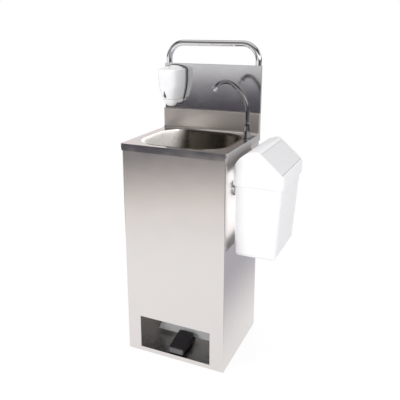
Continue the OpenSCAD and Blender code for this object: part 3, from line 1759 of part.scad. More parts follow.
module bin_bracket() {
    out_x = bracket_x + bracket_t + rail_out;
    color(steel) difference() {
        union() {
            translate([bracket_x, strip_y0, strip_z0])
                cube([bracket_t, strip_y1 - strip_y0, strip_z1 - strip_z0]);
            translate([bracket_x, bin_y - rail_l / 2, rail_z])
                cube([bracket_t, rail_l, strip_z0 + cut - rail_z]);
            translate([bracket_x, bin_y - rail_l / 2, rail_z])
                cube([bracket_t + rail_out, rail_l, bracket_t]);
            translate([out_x - bracket_t, bin_y - rail_l / 2, rail_z])
                cube([bracket_t, rail_l, rail_up]);
            translate([bracket_x, strip_y1 - bracket_t, strip_z0])
                cube([strip_lip, bracket_t, strip_z1 - strip_z0]);
        }
        bracket_holes(bracket_screw_r + seat);
        translate([bracket_x - cut, slot_y - slot_l / 2, bracket_screw_z - slot_r])
            cube([bracket_t + 2 * cut, slot_l, 2 * slot_r]);
        for (s = [-1, 1]) translate([bracket_x - cut, slot_y + s * slot_l / 2, bracket_screw_z])
            rotate([0, 90, 0]) cylinder(h = bracket_t + 2 * cut, r = slot_r);
    }
}

module bracket_screws() {
    x = bracket_x + bracket_t + seat;
    color(steel) for (y = bracket_screw_ys) translate([x, y, bracket_screw_z])
        rotate([0, 90, 0]) difference() {
            union() {
                translate([0, 0, -screw_l]) cylinder(h = screw_l, r = bracket_screw_r);
                cylinder(h = screw_head_h / 2, r = screw_head_r);
                cylinder(h = screw_head_h, r = screw_head_r * 0.8);
            }
            translate([0, 0, screw_head_h / 2])
                cylinder(h = screw_head_h, r = screw_head_r * 0.45, $fn = 6);
        }
}

// Pieces
cabinet_wrap();
base_plate();
recess_guard();
can_shelf();
foot_pads();
foot_nuts();
basin_top();
basin_bowl();
drain_flange();
drain_strainer();
drain_gasket();
drain_nut();
waste_coupling();
waste_pipe();
splashback();
push_handle();
handle_clamps();
clamp_nuts();
tap_body();
tap_gasket();
tap_nut();
spout();
spout_outlet();
pump_base();
pump_bellows();
pump_spring();
treadle();
treadle_pin();
pedal_pad();
suction_pipe();
supply_pipe();
pipe_clips();
shelf_grommets();
fresh_can();
fresh_can_cap();
waste_can();
waste_funnel();
axle_brackets();
wheel_axle();
axle_caps();
wheel_hub_left();
wheel_tyre_left();
wheel_hub_right();
wheel_tyre_right();
soap_back_plate();
soap_screws();
soap_bottle();
soap_pump();
soap_cover();
level_window();
soap_hinge_pin();
soap_skirt();
soap_lever();
bin_bracket();
bracket_screws();
bin_body();
bin_lid();
bin_flap();
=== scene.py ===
# %% [markdown]
# # Dressing a hand wash station
# The station is folded sheet steel, bent tube and a few mouldings. The CAD model gives each of
# them its place and size. Blender gives them their skins: satin steel, polished tube, glossy and
# grainy plastic, rubber. This first cell loads the model.

# %% Load the model
import math

import bpy
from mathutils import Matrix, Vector


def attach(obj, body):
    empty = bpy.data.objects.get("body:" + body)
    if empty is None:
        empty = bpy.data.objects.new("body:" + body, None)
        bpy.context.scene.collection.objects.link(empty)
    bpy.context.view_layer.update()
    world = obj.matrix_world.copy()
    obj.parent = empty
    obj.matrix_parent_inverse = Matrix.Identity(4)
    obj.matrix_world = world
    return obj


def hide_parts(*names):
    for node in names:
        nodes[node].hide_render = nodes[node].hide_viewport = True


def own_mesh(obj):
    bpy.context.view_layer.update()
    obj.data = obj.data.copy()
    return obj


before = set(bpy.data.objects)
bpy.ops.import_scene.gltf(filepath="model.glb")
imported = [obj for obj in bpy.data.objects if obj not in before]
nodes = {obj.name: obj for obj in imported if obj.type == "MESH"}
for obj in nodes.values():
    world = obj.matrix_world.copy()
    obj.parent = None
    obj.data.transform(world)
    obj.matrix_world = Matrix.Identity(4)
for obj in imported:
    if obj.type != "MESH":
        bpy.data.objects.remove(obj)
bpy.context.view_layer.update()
bpy.context.scene.view_settings.view_transform = "Standard"

# %% [markdown]
# ## Camera
# The photograph was taken from the front right and a little above, from about two metres. A
# camera could be placed by eye. This one's place, aim and lens were worked out from corners that
# can be told apart in the photograph. The uprights lean together only a little in it, so the lens
# is shifted down a little too. A larger shift would come closer to the photograph, but it would
# push the top of the station out of every other view.

# %% Place the camera
CAMERA_PLACE = (0.8316, -1.8028, 1.3164)
CAMERA_AIM = (-0.0353, 0.1439, 0.7699)
SENSOR_WIDTH = 36.0
LENS = 46.34
LENS_SHIFT = -0.11


def turned_towards(place, aim):
    """Rotation of a camera or lamp at the place that points at the aim."""
    way = Vector(aim) - Vector(place)
    return way.to_track_quat("-Z", "Y").to_euler()


camera_data = bpy.data.cameras.new("studio_camera")
camera_data.sensor_width = SENSOR_WIDTH
camera_data.lens = LENS
camera_data.shift_y = LENS_SHIFT
camera = bpy.data.objects.new("studio_camera", camera_data)
camera.location = CAMERA_PLACE
camera.rotation_euler = turned_towards(CAMERA_PLACE, CAMERA_AIM)
bpy.context.scene.collection.objects.link(camera)
bpy.context.scene.camera = camera
print("lens", LENS, "mm, shift", LENS_SHIFT)

# %% [markdown]
# ## Shader sums as Python
# A finish is a net of nodes. It could be drawn by hand in the shader editor, or written as one
# long list of links. Sums are easier to read, so one small class wraps a socket. Its operators
# add Math nodes, and its node method adds any other node.

# %% A socket that can be added and multiplied
class Wire:
    """A socket that gives a value, or only a tree where no socket is needed yet."""

    def __init__(self, tree, socket=None):
        self.tree = tree
        self.socket = socket

    def feed(self, target, value):
        """Link a wire to the target socket, or set a plain value on it."""
        if isinstance(value, Wire):
            self.tree.links.new(value.socket, target)
        else:
            target.default_value = value

    def node(self, kind, settings=None, sockets=None, out=0):
        """Add a node, with its settings first, then its sockets, and give one of its outputs."""
        made = self.tree.nodes.new(kind)
        for name, value in (settings or {}).items():
            if name == "stops":
                ramp = made.color_ramp
                while len(ramp.elements) < len(value):
                    ramp.elements.new(0.5)
                for element, (place, colour) in zip(ramp.elements, value):
                    element.position = place
                    element.color = (*colour, 1.0)
            else:
                setattr(made, name, value)
        for key, value in (sockets or {}).items():
            self.feed(made.inputs[key], value)
        return Wire(self.tree, made.outputs[out] if made.outputs else None)

    def sum(self, operation, a, b):
        return self.node("ShaderNodeMath", {"operation": operation}, {0: a, 1: b})

    def __add__(self, other):
        return self.sum("ADD", self, other)

    __radd__ = __add__

    def __sub__(self, other):
        return self.sum("SUBTRACT", self, other)

    def __rsub__(self, other):
        return self.sum("SUBTRACT", other, self)

    def __mul__(self, other):
        return self.sum("MULTIPLY", self, other)

    __rmul__ = __mul__

    def __gt__(self, other):
        return self.sum("GREATER_THAN", self, other)


# %% [markdown]
# ## Steps that come back
# Finishes, floor and room all ask where a point lies, fade softly from one place to another, and
# mix colours. Each of these is a few nodes, so each gets a short name here.

# %% Helpers for coordinates, fades and colours
def along(place, axis):
    """One coordinate of a place: 0 is x, 1 is y and 2 is z."""
    return place.node("ShaderNodeSeparateXYZ", sockets={0: place}, out=axis)


def fade(value, start, end):
    """Go softly from 0 at start to 1 at end."""
    return value.node("ShaderNodeMapRange", {"interpolation_type": "SMOOTHSTEP"}, {
        0: value, 1: start, 2: end, 3: 0.0, 4: 1.0})


def mixed(share, low, high):
    """Colour that goes from low to high as the share goes from 0 to 1."""
    low, high = (c if isinstance(c, Wire) else (*c, 1.0) for c in (low, high))
    return share.node("ShaderNodeMix", {"data_type": "RGBA"}, {0: share, 6: low, 7: high}, out=2)


def darker(colour, share):
    return tuple(c * share for c in colour)


print("helpers", [helper.__name__ for helper in (along, fade, mixed, darker)])


# %% [markdown]
# ## What every finish shares
# Each finish starts from one Principled shader. Its pattern could follow an unwrapped map of the
# mesh, but the CAD meshes have none. Object coordinates need none, and they are metres in the
# model's own frame here, so the grain has its real size on every piece.

# %% Helpers for finishes
finishes = {}


class Finish:
    """A new material, kept under its name in finishes."""

    def __init__(self, name):
        material = bpy.data.materials.new(name)
        material.use_nodes = True
        self.shader = material.node_tree.nodes["Principled BSDF"]
        self.wire = Wire(material.node_tree)
        self.place = self.wire.node("ShaderNodeTexCoord", out="Object")
        finishes[name] = material

    def put(self, **sockets):
        """Set sockets of the shader by their names, with _ for each space."""
        for name, value in sockets.items():
            self.wire.feed(self.shader.inputs[name.replace("_", " ")], value)

    def noise(self, size, detail, stretch=(1, 1, 1)):
        """Grey noise whose spots are about size metres, longer where stretch is larger."""
        scale = tuple(1.0 / (size * s) for s in stretch)
        where = self.wire.node("ShaderNodeMapping", sockets={0: self.place, "Scale": scale})
        return self.wire.node("ShaderNodeTexNoise", sockets={
            "Vector": where, "Scale": 1.0, "Detail": detail})

    def bump(self, height, distance):
        """Normal of a surface that rises by the distance in metres where the height is 1."""
        return self.wire.node("ShaderNodeBump", sockets={
            "Height": height, "Distance": distance, "Strength": 1.0})


# %% [markdown]
# ## Satin steel
# The cabinet is stainless sheet with a fine brushed grain. A photograph of steel could be laid
# over it, but noise has no seams and no fixed size. Long thin noise along the grain changes the
# roughness and lifts the surface by a few micrometres. A broad cloudy noise stands for handling
# marks, and a still broader one for the slight ripple of thin sheet, which bends reflections.
# The side beside the bin is polished brighter, and the upstand is a little softer, with a
# lighter, warmer colour painted in as painted sheen.

# %% Make the satin steels
UPRIGHT = (1, 1, 60)
ACROSS = (60, 1, 1)
GRAIN_SIZE = 0.0006
GRAIN_ROUGH = 0.06
GRAIN_LIFT = 0.00002
MARK_SIZE = 0.09
MARK_ROUGH = 0.08
MARK_DARK = 0.93
RIPPLE_SIZE = 0.07
SHEET_RIPPLE = 0.00008
DECK_RIPPLE = 0.0005
BIN_SIDE_X = 0.2098
UPSTAND_Z = 0.8835
UPSTAND_PAINTED_SHEEN = (0.82, 0.77, 0.73)
PAINTED_SHEEN_GAIN = 4.0


def satin_steel(name, colour, rough, grain, side_gloss=0.0, soft_and_painted_top=0.0, metal=1.0,
                ripple=SHEET_RIPPLE):
    """Brushed sheet. Its side beside the bin can be glossier, and its upstand softer, with
    painted sheen.
    """
    finish = Finish(name)
    lines = finish.noise(GRAIN_SIZE, 2.0, grain)
    marks = finish.noise(MARK_SIZE, 4.0)
    waves = finish.noise(RIPPLE_SIZE, 1.0)
    side = along(finish.place, 0) > BIN_SIDE_X
    upstand = along(finish.place, 2) > UPSTAND_Z
    plain = mixed(lines * 0.5 + marks * 0.5, darker(colour, MARK_DARK), colour)
    smoothest = rough - (GRAIN_ROUGH + MARK_ROUGH) / 2
    # The upstand's lighter, warmer colour is painted sheen. The same share also makes it rougher.
    finish.put(
        Base_Color=mixed(upstand * soft_and_painted_top * PAINTED_SHEEN_GAIN, plain, UPSTAND_PAINTED_SHEEN),
        Metallic=metal,
        Roughness=(lines * GRAIN_ROUGH + marks * MARK_ROUGH + smoothest - side * side_gloss
                   + upstand * soft_and_painted_top),
        Normal=finish.bump(lines * GRAIN_LIFT + waves * ripple, 1.0),
    )


satin_steel("sheet_upright", (0.84, 0.815, 0.80), 0.19, UPRIGHT, side_gloss=0.13)
satin_steel("sheet_across", (0.76, 0.75, 0.75), 0.12, ACROSS)
satin_steel("sheet_top", (0.76, 0.75, 0.75), 0.12, ACROSS, soft_and_painted_top=0.24, ripple=DECK_RIPPLE)
# The base plate is a dark copy of the sheet: painted shade for the dark inside the recess.
satin_steel("sheet_floor_painted_shade", (0.30, 0.29, 0.28), 0.28, ACROSS)
satin_steel("sheet_inside", (0.6, 0.6, 0.61), 0.35, ACROSS)
# The recess guard is a pale, hardly metallic copy of the sheet: painted light for the bright
# reflection it shows.
satin_steel("sheet_matt_painted_light", (0.90, 0.90, 0.91), 0.4, ACROSS, metal=0.1)
print("satin steels", len(finishes))

# %% [markdown]
# ## Pressed steel
# The bowl is the same sheet, drawn deep and polished to a soft sheen. Its left wall catches the
# light, and the rest falls off into a warm dark. Lamps alone could show that, but a bowl mirrors
# itself many times over. So that light and dark are painted into the metal's colour: painted
# light on the left, fading softly into painted shade on the right.

# %% Make the pressed steel
PAINTED_SHADE_FROM = -0.160
PAINTED_SHADE_FULL = -0.085
BOWL_PAINTED_LIGHT = (0.98, 0.94, 0.90)
BOWL_PAINTED_SHADE = (0.10, 0.087, 0.072)
PAINTED_SHADE_SHARE = 0.96
PAINTED_LIGHT_METAL = 0.38
DRAWN_ROUGH = 0.22
CLOUD_SIZE = 0.05
CLOUD_SHARE = 0.05
CLOUD_ROUGH = 0.08
POLISH_SIZE = 0.0008
POLISH_ROUGH = 0.05
POLISH_DEPTH = 0.00001


def pressed_steel(name):
    """Polished sheet with painted light, pale on the left, and painted shade, dark metal on the
    right.
    """
    finish = Finish(name)
    # Painted light and shade: a fade across the bowl, from its pale left to its dark right.
    painted_shade = fade(along(finish.place, 0), PAINTED_SHADE_FROM, PAINTED_SHADE_FULL)
    clouds = finish.noise(CLOUD_SIZE, 4.0)
    fine = finish.noise(POLISH_SIZE, 2.0)
    finish.put(
        Base_Color=mixed(painted_shade * PAINTED_SHADE_SHARE + clouds * CLOUD_SHARE, BOWL_PAINTED_LIGHT, BOWL_PAINTED_SHADE),
        Metallic=painted_shade * (1 - PAINTED_LIGHT_METAL) + PAINTED_LIGHT_METAL,
        Roughness=clouds * CLOUD_ROUGH + fine * POLISH_ROUGH + DRAWN_ROUGH,
        Normal=finish.bump(fine, POLISH_DEPTH),
    )


pressed_steel("sheet_pressed_painted_light")
print("finishes", len(finishes))

# %% [markdown]
# ## Polished tube
# Handle, spout and drain fittings are bright tube. It mirrors the room, so it needs very little
# roughness. A perfect mirror looks drawn, so faint smears and the slightest dents break it here
# and there. The tap and the spout's bend are a darker copy of the tube: painted shade for the
# dark of themselves and the splashback that they mirror.

# %% Make the polished steel
SMEAR_SIZE = 0.03
SMEAR_DARK = 0.95
SMEAR_ROUGH = 0.05
DENT_SIZE = 0.004
DENT_DEPTH = 0.000008


def polished(name, colour, rough):
    """Bright metal with faint smears."""
    finish = Finish(name)
    smear = finish.noise(SMEAR_SIZE, 4.0)
    finish.put(
        Base_Color=mixed(smear, darker(colour, SMEAR_DARK), colour),
        Metallic=1.0,
        Roughness=smear * SMEAR_ROUGH + rough,
        Normal=finish.bump(finish.noise(DENT_SIZE, 2.0), DENT_DEPTH),
    )


polished("bright_tube", (0.86, 0.87, 0.89), 0.04)
# The darker tube is painted shade, for the dark that the tap and the spout mirror.
polished("tube_painted_shade", (0.30, 0.30, 0.32), 0.02)
polished("zinc_plate", (0.7, 0.71, 0.73), 0.25)
print("finishes", len(finishes))

# %% [markdown]
# ## Plastics and rubber
# Moulded plastic has a fine grain from its tool and a slight change of tone. The dispenser is
# glossy, so it has a thin clear coat. The bin is eggshell, and tyres and seals are matt rubber.
# One recipe serves them all, with the grain, the gloss and the change of tone as its values.

# %% Make the plastics
PLASTIC_IOR = 1.48
COAT_ROUGH = 0.06
TONE_SIZE = 0.05
TONE_ROUGH = 0.06
TOOL_ROUGH = 0.1


def moulded(name, colour, rough, grain=0.0008, depth=0.00003, coat=0.0, scuff=0.04):
    """Plastic or rubber whose tool grain has a size and a depth in metres."""
    finish = Finish(name)
    tone = finish.noise(TONE_SIZE, 3.0)
    fine = finish.noise(grain, 2.0)
    smoothest = rough - (TOOL_ROUGH + TONE_ROUGH) / 2
    finish.put(
        Base_Color=mixed(tone, darker(colour, 1 - scuff), colour),
        Roughness=fine * TOOL_ROUGH + tone * TONE_ROUGH + smoothest,
        Normal=finish.bump(fine, depth),
        IOR=PLASTIC_IOR,
        Coat_Weight=coat,
        Coat_Roughness=COAT_ROUGH,
    )


moulded("gloss_white", (0.88, 0.88, 0.89), 0.16, depth=0.000008, coat=0.4)
moulded("bin_white", (0.9, 0.895, 0.9), 0.38)
# The flap is a greyer copy of the bin's white: painted shade on its slope, which the light
# reaches less.
moulded("flap_white_painted_shade", (0.8, 0.795, 0.8), 0.42)
moulded("black_rubber", (0.02, 0.02, 0.021), 0.6, grain=0.001, depth=0.00006, scuff=0.3)
moulded("grey_plastic", (0.075, 0.078, 0.085), 0.45)
moulded("window_dark", (0.02, 0.021, 0.024), 0.12, depth=0.00001, coat=0.5)
moulded("milky_plastic", (0.72, 0.74, 0.7), 0.3)
moulded("blue_plastic", (0.02, 0.07, 0.35), 0.35)
moulded("pipe_white", (0.82, 0.82, 0.8), 0.3)
print("finishes", len(finishes))

# %% [markdown]
# ## The worn pedal
# Soles have rubbed the pedal's front face and front edge grey. Real wear is uneven, so a fade
# over the last few millimetres at the front is broken up by spots.

# %% Wear the pedal
WEAR_FROM = -0.1735
WEAR_FULL = -0.1808
PEDAL_BLACK = (0.018, 0.016, 0.018)
PEDAL_GREY = (0.16, 0.15, 0.155)
PEDAL_ROUGH = 0.38
SPOT_SIZE = 0.006
SPOT_SHARE = 0.6
WEAR_SHARE = 0.5
WEAR_ROUGH = 0.15
RUBBER_SIZE = 0.0012
RUBBER_ROUGH = 0.15
RUBBER_DEPTH = 0.00008


def worn_rubber(name):
    """Black rubber that has gone grey towards its front."""
    finish = Finish(name)
    front = fade(along(finish.place, 1), WEAR_FROM, WEAR_FULL)
    spots = finish.noise(SPOT_SIZE, 4.0)
    grain = finish.noise(RUBBER_SIZE, 2.0)
    rubbed = front * (spots * SPOT_SHARE + WEAR_SHARE)
    finish.put(
        Base_Color=mixed(rubbed, PEDAL_BLACK, PEDAL_GREY),
        Roughness=grain * RUBBER_ROUGH + rubbed * WEAR_ROUGH + PEDAL_ROUGH,
        Normal=finish.bump(grain, RUBBER_DEPTH),
    )


worn_rubber("pedal_worn")
print("finishes", sorted(finishes))

# %% [markdown]
# ## Floor
# The station stands on a pale floor that melts into a white room. The camera sees the floor
# nearly white, with a soft shadow on it. Steel sees it as a pale band that is darker on the
# right, which keeps the cabinet's side darker than its front. More light would bleach the
# station, so the floor's own colours do this, by the kind of ray that meets them.

# %% Build the floor
FLOOR_RADIUS = 1.7
FLOOR_SIDES = 96
FLOOR_GREY = (0.74, 0.73, 0.73)
FLOOR_SEEN = 0.9
FLOOR_WHITE = 1.04
FLOOR_MIRRORED = 0.8
FLOOR_LEFT = (0.97, 0.95, 0.94)
FLOOR_RIGHT = (0.42, 0.41, 0.46)
FLOOR_TURN = (0.2, 0.5)


def empty_tree(owner):
    """Wire for the cleared node tree of a material or a world."""
    owner.use_nodes = True
    owner.node_tree.nodes.clear()
    return Wire(owner.node_tree)


def kind_of_ray(wire, kind):
    return wire.node("ShaderNodeLightPath", out=kind)


circle = []
for side in range(FLOOR_SIDES):
    angle = 2 * math.pi * side / FLOOR_SIDES
    circle.append((FLOOR_RADIUS * math.cos(angle), FLOOR_RADIUS * math.sin(angle), 0.0))
floor_mesh = bpy.data.meshes.new("studio_floor")
floor_mesh.from_pydata(circle, [], [list(range(FLOOR_SIDES))])
floor = bpy.data.objects.new("studio_floor", floor_mesh)
bpy.context.scene.collection.objects.link(floor)

floor_skin = bpy.data.materials.new("studio_floor")
wire = empty_tree(floor_skin)
floor_x = along(wire.node("ShaderNodeTexCoord", out="Object"), 0)
floor_tone = mixed(fade(floor_x, *FLOOR_TURN), FLOOR_LEFT, FLOOR_RIGHT)
plain = wire.node("ShaderNodeBsdfDiffuse", sockets={"Color": (*FLOOR_GREY, 1.0)})
pale = wire.node("ShaderNodeEmission", sockets={"Color": floor_tone})
white = wire.node("ShaderNodeEmission", sockets={"Color": (1, 1, 1, 1), "Strength": FLOOR_WHITE})
mirrored = kind_of_ray(wire, "Is Glossy Ray") * FLOOR_MIRRORED
seen = kind_of_ray(wire, "Is Camera Ray") * FLOOR_SEEN
surface = wire.node("ShaderNodeMixShader", sockets={0: mirrored, 1: plain, 2: pale})
surface = wire.node("ShaderNodeMixShader", sockets={0: seen, 1: surface, 2: white})
wire.node("ShaderNodeOutputMaterial", sockets={"Surface": surface})
floor_mesh.materials.append(floor_skin)
print("floor", FLOOR_RADIUS, "m from its middle")

# %% [markdown]
# ## Room
# Steel has hardly any colour of its own and shows what stands around it. A built set of walls
# would do, but a world is lighter. It is a stack of soft bands, from the ground to overhead, in
# three directions: to the left and front, to the right, and behind. Only reflections see them.
# All other light from the room is one even pale grey, and the camera sees plain white.

# %% Build the room
OVERHEAD = [
    (0.85, (0.10, 0.10, 0.10)),
    (0.92, (0.70, 0.69, 0.68)),
]
LEFT_BANDS = [
    (0.0, (1.06, 1.02, 1.01)),
    (0.318, (1.10, 1.04, 1.01)),
    (0.350, (0.62, 0.57, 0.54)),
    (0.372, (0.16, 0.15, 0.15)),
    (0.379, (0.06, 0.06, 0.08)),
    (0.431, (0.05, 0.045, 0.06)),
    (0.444, (0.16, 0.15, 0.17)),
    (0.457, (0.90, 0.90, 0.92)),
    (0.490, (0.85, 0.85, 0.87)),
    (0.505, (0.16, 0.15, 0.15)),
    (0.555, (0.10, 0.09, 0.09)),
    (0.59, (0.34, 0.31, 0.30)),
    (0.645, (0.34, 0.31, 0.30)),
    (0.71, (0.06, 0.055, 0.05)),
    *OVERHEAD,
]
RIGHT_BANDS = [
    (0.0, (0.50, 0.49, 0.52)),
    (0.325, (0.46, 0.45, 0.49)),
    (0.392, (0.36, 0.34, 0.37)),
    (0.465, (0.10, 0.09, 0.09)),
    (0.505, (0.12, 0.11, 0.11)),
    (0.535, (1.3, 1.27, 1.24)),
    (0.625, (1.5, 1.45, 1.4)),
    (0.69, (0.08, 0.07, 0.06)),
    *OVERHEAD,
]
REAR_BANDS = [
    (0.0, (0.60, 0.58, 0.57)),
    (0.465, (0.50, 0.49, 0.50)),
    (0.505, (0.10, 0.09, 0.10)),
    (0.545, (0.12, 0.11, 0.11)),
    (0.58, (0.90, 0.84, 0.82)),
    (0.71, (0.80, 0.74, 0.72)),
    (0.80, (0.06, 0.055, 0.05)),
    *OVERHEAD,
]
RIGHT_TURN = (-0.05, 0.25)
REAR_TURN = (-0.1, 0.4)
ROOM_GREY = (0.74, 0.74, 0.755)
ROOM_WHITE = (1.0, 1.0, 1.0)

room = bpy.data.worlds.new("studio_room")
bpy.context.scene.world = room
wire = empty_tree(room)
direction = wire.node("ShaderNodeTexCoord", out="Generated")
climb = along(direction, 2) * 0.5 + 0.5
left_room, right_room, rear_room = (
    wire.node("ShaderNodeValToRGB", {"stops": bands}, {0: climb})
    for bands in (LEFT_BANDS, RIGHT_BANDS, REAR_BANDS))
reflected = mixed(fade(along(direction, 0), *RIGHT_TURN), left_room, right_room)
reflected = mixed(fade(along(direction, 1), *REAR_TURN), reflected, rear_room)
lit = mixed(kind_of_ray(wire, "Is Glossy Ray"), ROOM_GREY, reflected)
shown = mixed(kind_of_ray(wire, "Is Camera Ray"), lit, ROOM_WHITE)
sky = wire.node("ShaderNodeBackground", sockets={"Color": shown, "Strength": 1.0})
wire.node("ShaderNodeOutputWorld", sockets={"Surface": sky})
print("room bands", len(LEFT_BANDS), len(RIGHT_BANDS), len(REAR_BANDS))

# %% [markdown]
# ## Lamps
# A large soft lamp on the left is the main light. A weaker one on the right fills the shadows,
# and two more light the top and the back. Sun or spot lamps would throw hard shadows, so all are
# area lamps. Steel would mirror them as hard squares, so reflections don't see them. A small one
# between the bin and the cabinet stands for the light that bounces to and fro between the two.

# %% Hang the lamps
LAMPS = [
    # name, place, aim, width and length, watts
    ("key_left", (-1.5, -2.5, 1.9), (0.0, 0.0, 0.7), (1.4, 1.4), 46),
    ("fill_right", (2.5, -1.2, 0.9), (0.0, 0.0, 0.6), (1.2, 1.2), 20),
    ("top_soft", (0.1, 0.2, 3.0), (0.0, 0.0, 0.5), (1.6, 1.2), 6),
    ("back_soft", (-0.6, 2.4, 1.8), (0.0, 0.0, 0.7), (1.4, 1.4), 14),
    ("gap_soft", (0.2130, 0.0, 0.67), (0.3, 0.0, 0.67), (0.32, 0.26), 0.24),
]


def lamp(name, place, aim, size, watts, mirrored=False):
    """Area lamp that lights things but isn't seen itself, unless it may be mirrored."""
    data = bpy.data.lights.new(name, "AREA")
    data.shape = "RECTANGLE"
    data.size, data.size_y = size
    data.energy = watts
    hung = bpy.data.objects.new(name, data)
    hung.location = place
    hung.rotation_euler = turned_towards(place, aim)
    hung.visible_glossy = mirrored
    hung.visible_camera = False
    bpy.context.scene.collection.objects.link(hung)
    return hung


for row in LAMPS:
    lamp(*row)
print("lamps", len(LAMPS))

# %% [markdown]
# ## Dressing the CAD pieces
# A CAD piece whose form is right keeps it and gets a finish. No real edge is perfectly sharp, so
# the edges that catch the light are rounded by a small bevel with smooth shading. Modelling each
# rounding in CAD would take far longer and show no more. The cabinet's sheet and the bin's
# bracket are cut into long thin triangles, which would streak under the bevel, so their flat
# faces are merged first.

# %% Dress the pieces that keep their form
WELD_GAP = 0.00001
FLAT_ANGLE = math.radians(0.3)
SHARP_ANGLE = math.radians(30)
EDGE_STEPS = 3
MERGED_SHEETS = {"cabinet_wrap", "bin_bracket"}
ROUNDED_EDGES = {
    "bin_lid": 0.003,
    "bin_flap": 0.001,
    "pedal_pad": 0.002,
    "bin_bracket": 0.0005,
    "basin_top": 0.0005,
    "cabinet_wrap": 0.0004,
    "splashback": 0.0008,
}
WARDROBE = {
    "sheet_upright": ["cabinet_wrap"],
    "sheet_across": ["splashback", "bin_bracket"],
    "sheet_top": ["basin_top"],
    "sheet_floor_painted_shade": ["base_plate"],
    "sheet_matt_painted_light": ["recess_guard"],
    "sheet_pressed_painted_light": ["basin_bowl"],
    "sheet_inside": ["can_shelf", "handle_clamps", "axle_brackets"],
    "bright_tube": ["push_handle", "tap_nut", "spout_outlet", "drain_flange", "drain_strainer"],
    "tube_painted_shade": ["tap_body", "spout"],
    "zinc_plate": ["foot_nuts", "clamp_nuts", "treadle_pin", "pump_spring", "wheel_axle",
                   "soap_screws", "soap_hinge_pin", "bracket_screws"],
    "gloss_white": ["soap_cover", "soap_skirt", "soap_lever"],
    "pipe_white": ["drain_nut", "waste_coupling", "waste_pipe"],
    "bin_white": ["bin_body", "bin_lid"],
    "flap_white_painted_shade": ["bin_flap"],
    "pedal_worn": ["pedal_pad"],
    "black_rubber": ["foot_pads", "drain_gasket", "tap_gasket", "pump_bellows", "shelf_grommets",
                     "wheel_tyre_left", "wheel_tyre_right", "axle_caps"],
    "grey_plastic": ["pump_base", "treadle", "pipe_clips", "wheel_hub_left", "wheel_hub_right",
                     "soap_back_plate"],
    "window_dark": ["level_window"],
    "milky_plastic": ["suction_pipe", "supply_pipe", "fresh_can", "waste_can", "soap_bottle",
                      "soap_pump"],
    "blue_plastic": ["fresh_can_cap", "waste_funnel"],
}


def dress(node, finish):
    """Give a CAD node its finish, and rounded edges where it is listed for them."""
    piece = nodes[node]
    piece.data.materials.clear()
    piece.data.materials.append(finishes[finish])
    if node not in ROUNDED_EDGES:
        return
    weld = piece.modifiers.new("join", "WELD")
    weld.merge_threshold = WELD_GAP
    if node in MERGED_SHEETS:
        flat = piece.modifiers.new("whole_faces", "DECIMATE")
        flat.decimate_type = "DISSOLVE"
        flat.angle_limit = FLAT_ANGLE
    bevel = piece.modifiers.new("soft_edges", "BEVEL")
    bevel.width = ROUNDED_EDGES[node]
    bevel.segments = EDGE_STEPS
    bevel.limit_method = "ANGLE"
    bevel.angle_limit = SHARP_ANGLE
    bevel.harden_normals = True


for finish_name, members in WARDROBE.items():
    for member in members:
        dress(member, finish_name)
print("dressed", sum(len(members) for members in WARDROBE.values()), "of", len(nodes))

# %% [markdown]
# ## Smooth shapes
# The bowl, the spout and the dispenser are free forms that the CAD model draws with flat facets.
# They could be smoothed by a subdivision surface, which pulls every corner in. So each is made
# again here with many more rings through the same shape. A ring is a list of points, and a skin
# is stretched over neighbouring rings. All lengths are in metres.

# %% Helpers for smooth shapes
def curve_through(points, steps):
    """Catmull-Rom curve through the points, with steps pieces between two of them."""
    found = []
    for k in range(len(points) - 1):
        a, b = points[max(k - 1, 0)], points[k]
        c, d = points[k + 1], points[min(k + 2, len(points) - 1)]
        for i in range(steps):
            t = i / steps
            found.append([
                0.5 * (2 * q + (r - p) * t + (2 * p - 5 * q + 4 * r - u) * t ** 2
                       + (3 * q - p - 3 * r + u) * t ** 3)
                for p, q, r, u in zip(a, b, c, d)])
    found.append(list(points[-1]))
    return found


def skin(name, rings, finish, body, replaced, loop=True, inward=0.0, outward=0.0):
    """Mesh over the rings, riding on a body in place of a CAD node.

    Its wall grows to one side, and a ring that isn't a loop stays open between its ends.
    """
    count = len(rings[0])
    points = [tuple(p) for ring in rings for p in ring]
    faces = []
    for k in range(len(rings) - 1):
        for i in range(count if loop else count - 1):
            j = (i + 1) % count
            quad = [k * count + i, k * count + j, (k + 1) * count + j, (k + 1) * count + i]
            faces.append(quad if outward else quad[::-1])
    mesh = bpy.data.meshes.new(name)
    mesh.from_pydata(points, [], faces)
    mesh.shade_smooth()
    mesh.materials.append(finishes[finish])
    piece = bpy.data.objects.new(name, mesh)
    bpy.context.scene.collection.objects.link(piece)
    if inward or outward:
        solid = piece.modifiers.new("wall", "SOLIDIFY")
        solid.thickness = inward + outward
        solid.offset = -1.0
    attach(piece, body)
    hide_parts(replaced)
    size = [round(1000 * (max(axis) - min(axis))) for axis in zip(*points)]
    print(name, len(rings), "rings", len(faces), "faces", size, "mm")
    return piece


# %% [markdown]
# ## The bowl
# The bowl is pressed from one sheet with the deck. Its sides fall steeply and turn into a nearly
# flat floor, which ends at the drain. A ring is a rounded rectangle that shrinks to the drain's
# circle on its way down. The first two rings lie on the deck and hide the joint.

# %% Press the bowl
RIM_Z = 0.880
BOWL_HALF = (0.176, 0.155)
BOWL_CORNER = 0.100
BOWL_Y = -0.010
BOWL_DEPTH = 0.145
BOWL_SHEET = 0.0012
BOWL_LIFT = 0.0002
BOWL_LIP = ((0.006, 0.00005), (0.003, 0.00025))
DRAIN_R = 0.0218
BOWL_STEPS = 4
BOWL_PROFILE = [
    # share of the way to the drain, share of the depth
    (0.0, 0.0), (0.022, 0.008), (0.036, 0.035), (0.045, 0.09), (0.07, 0.35), (0.1, 0.62),
    (0.135, 0.79), (0.19, 0.905), (0.27, 0.965), (0.38, 0.98), (0.79, 1.0), (1.0, 1.0)]


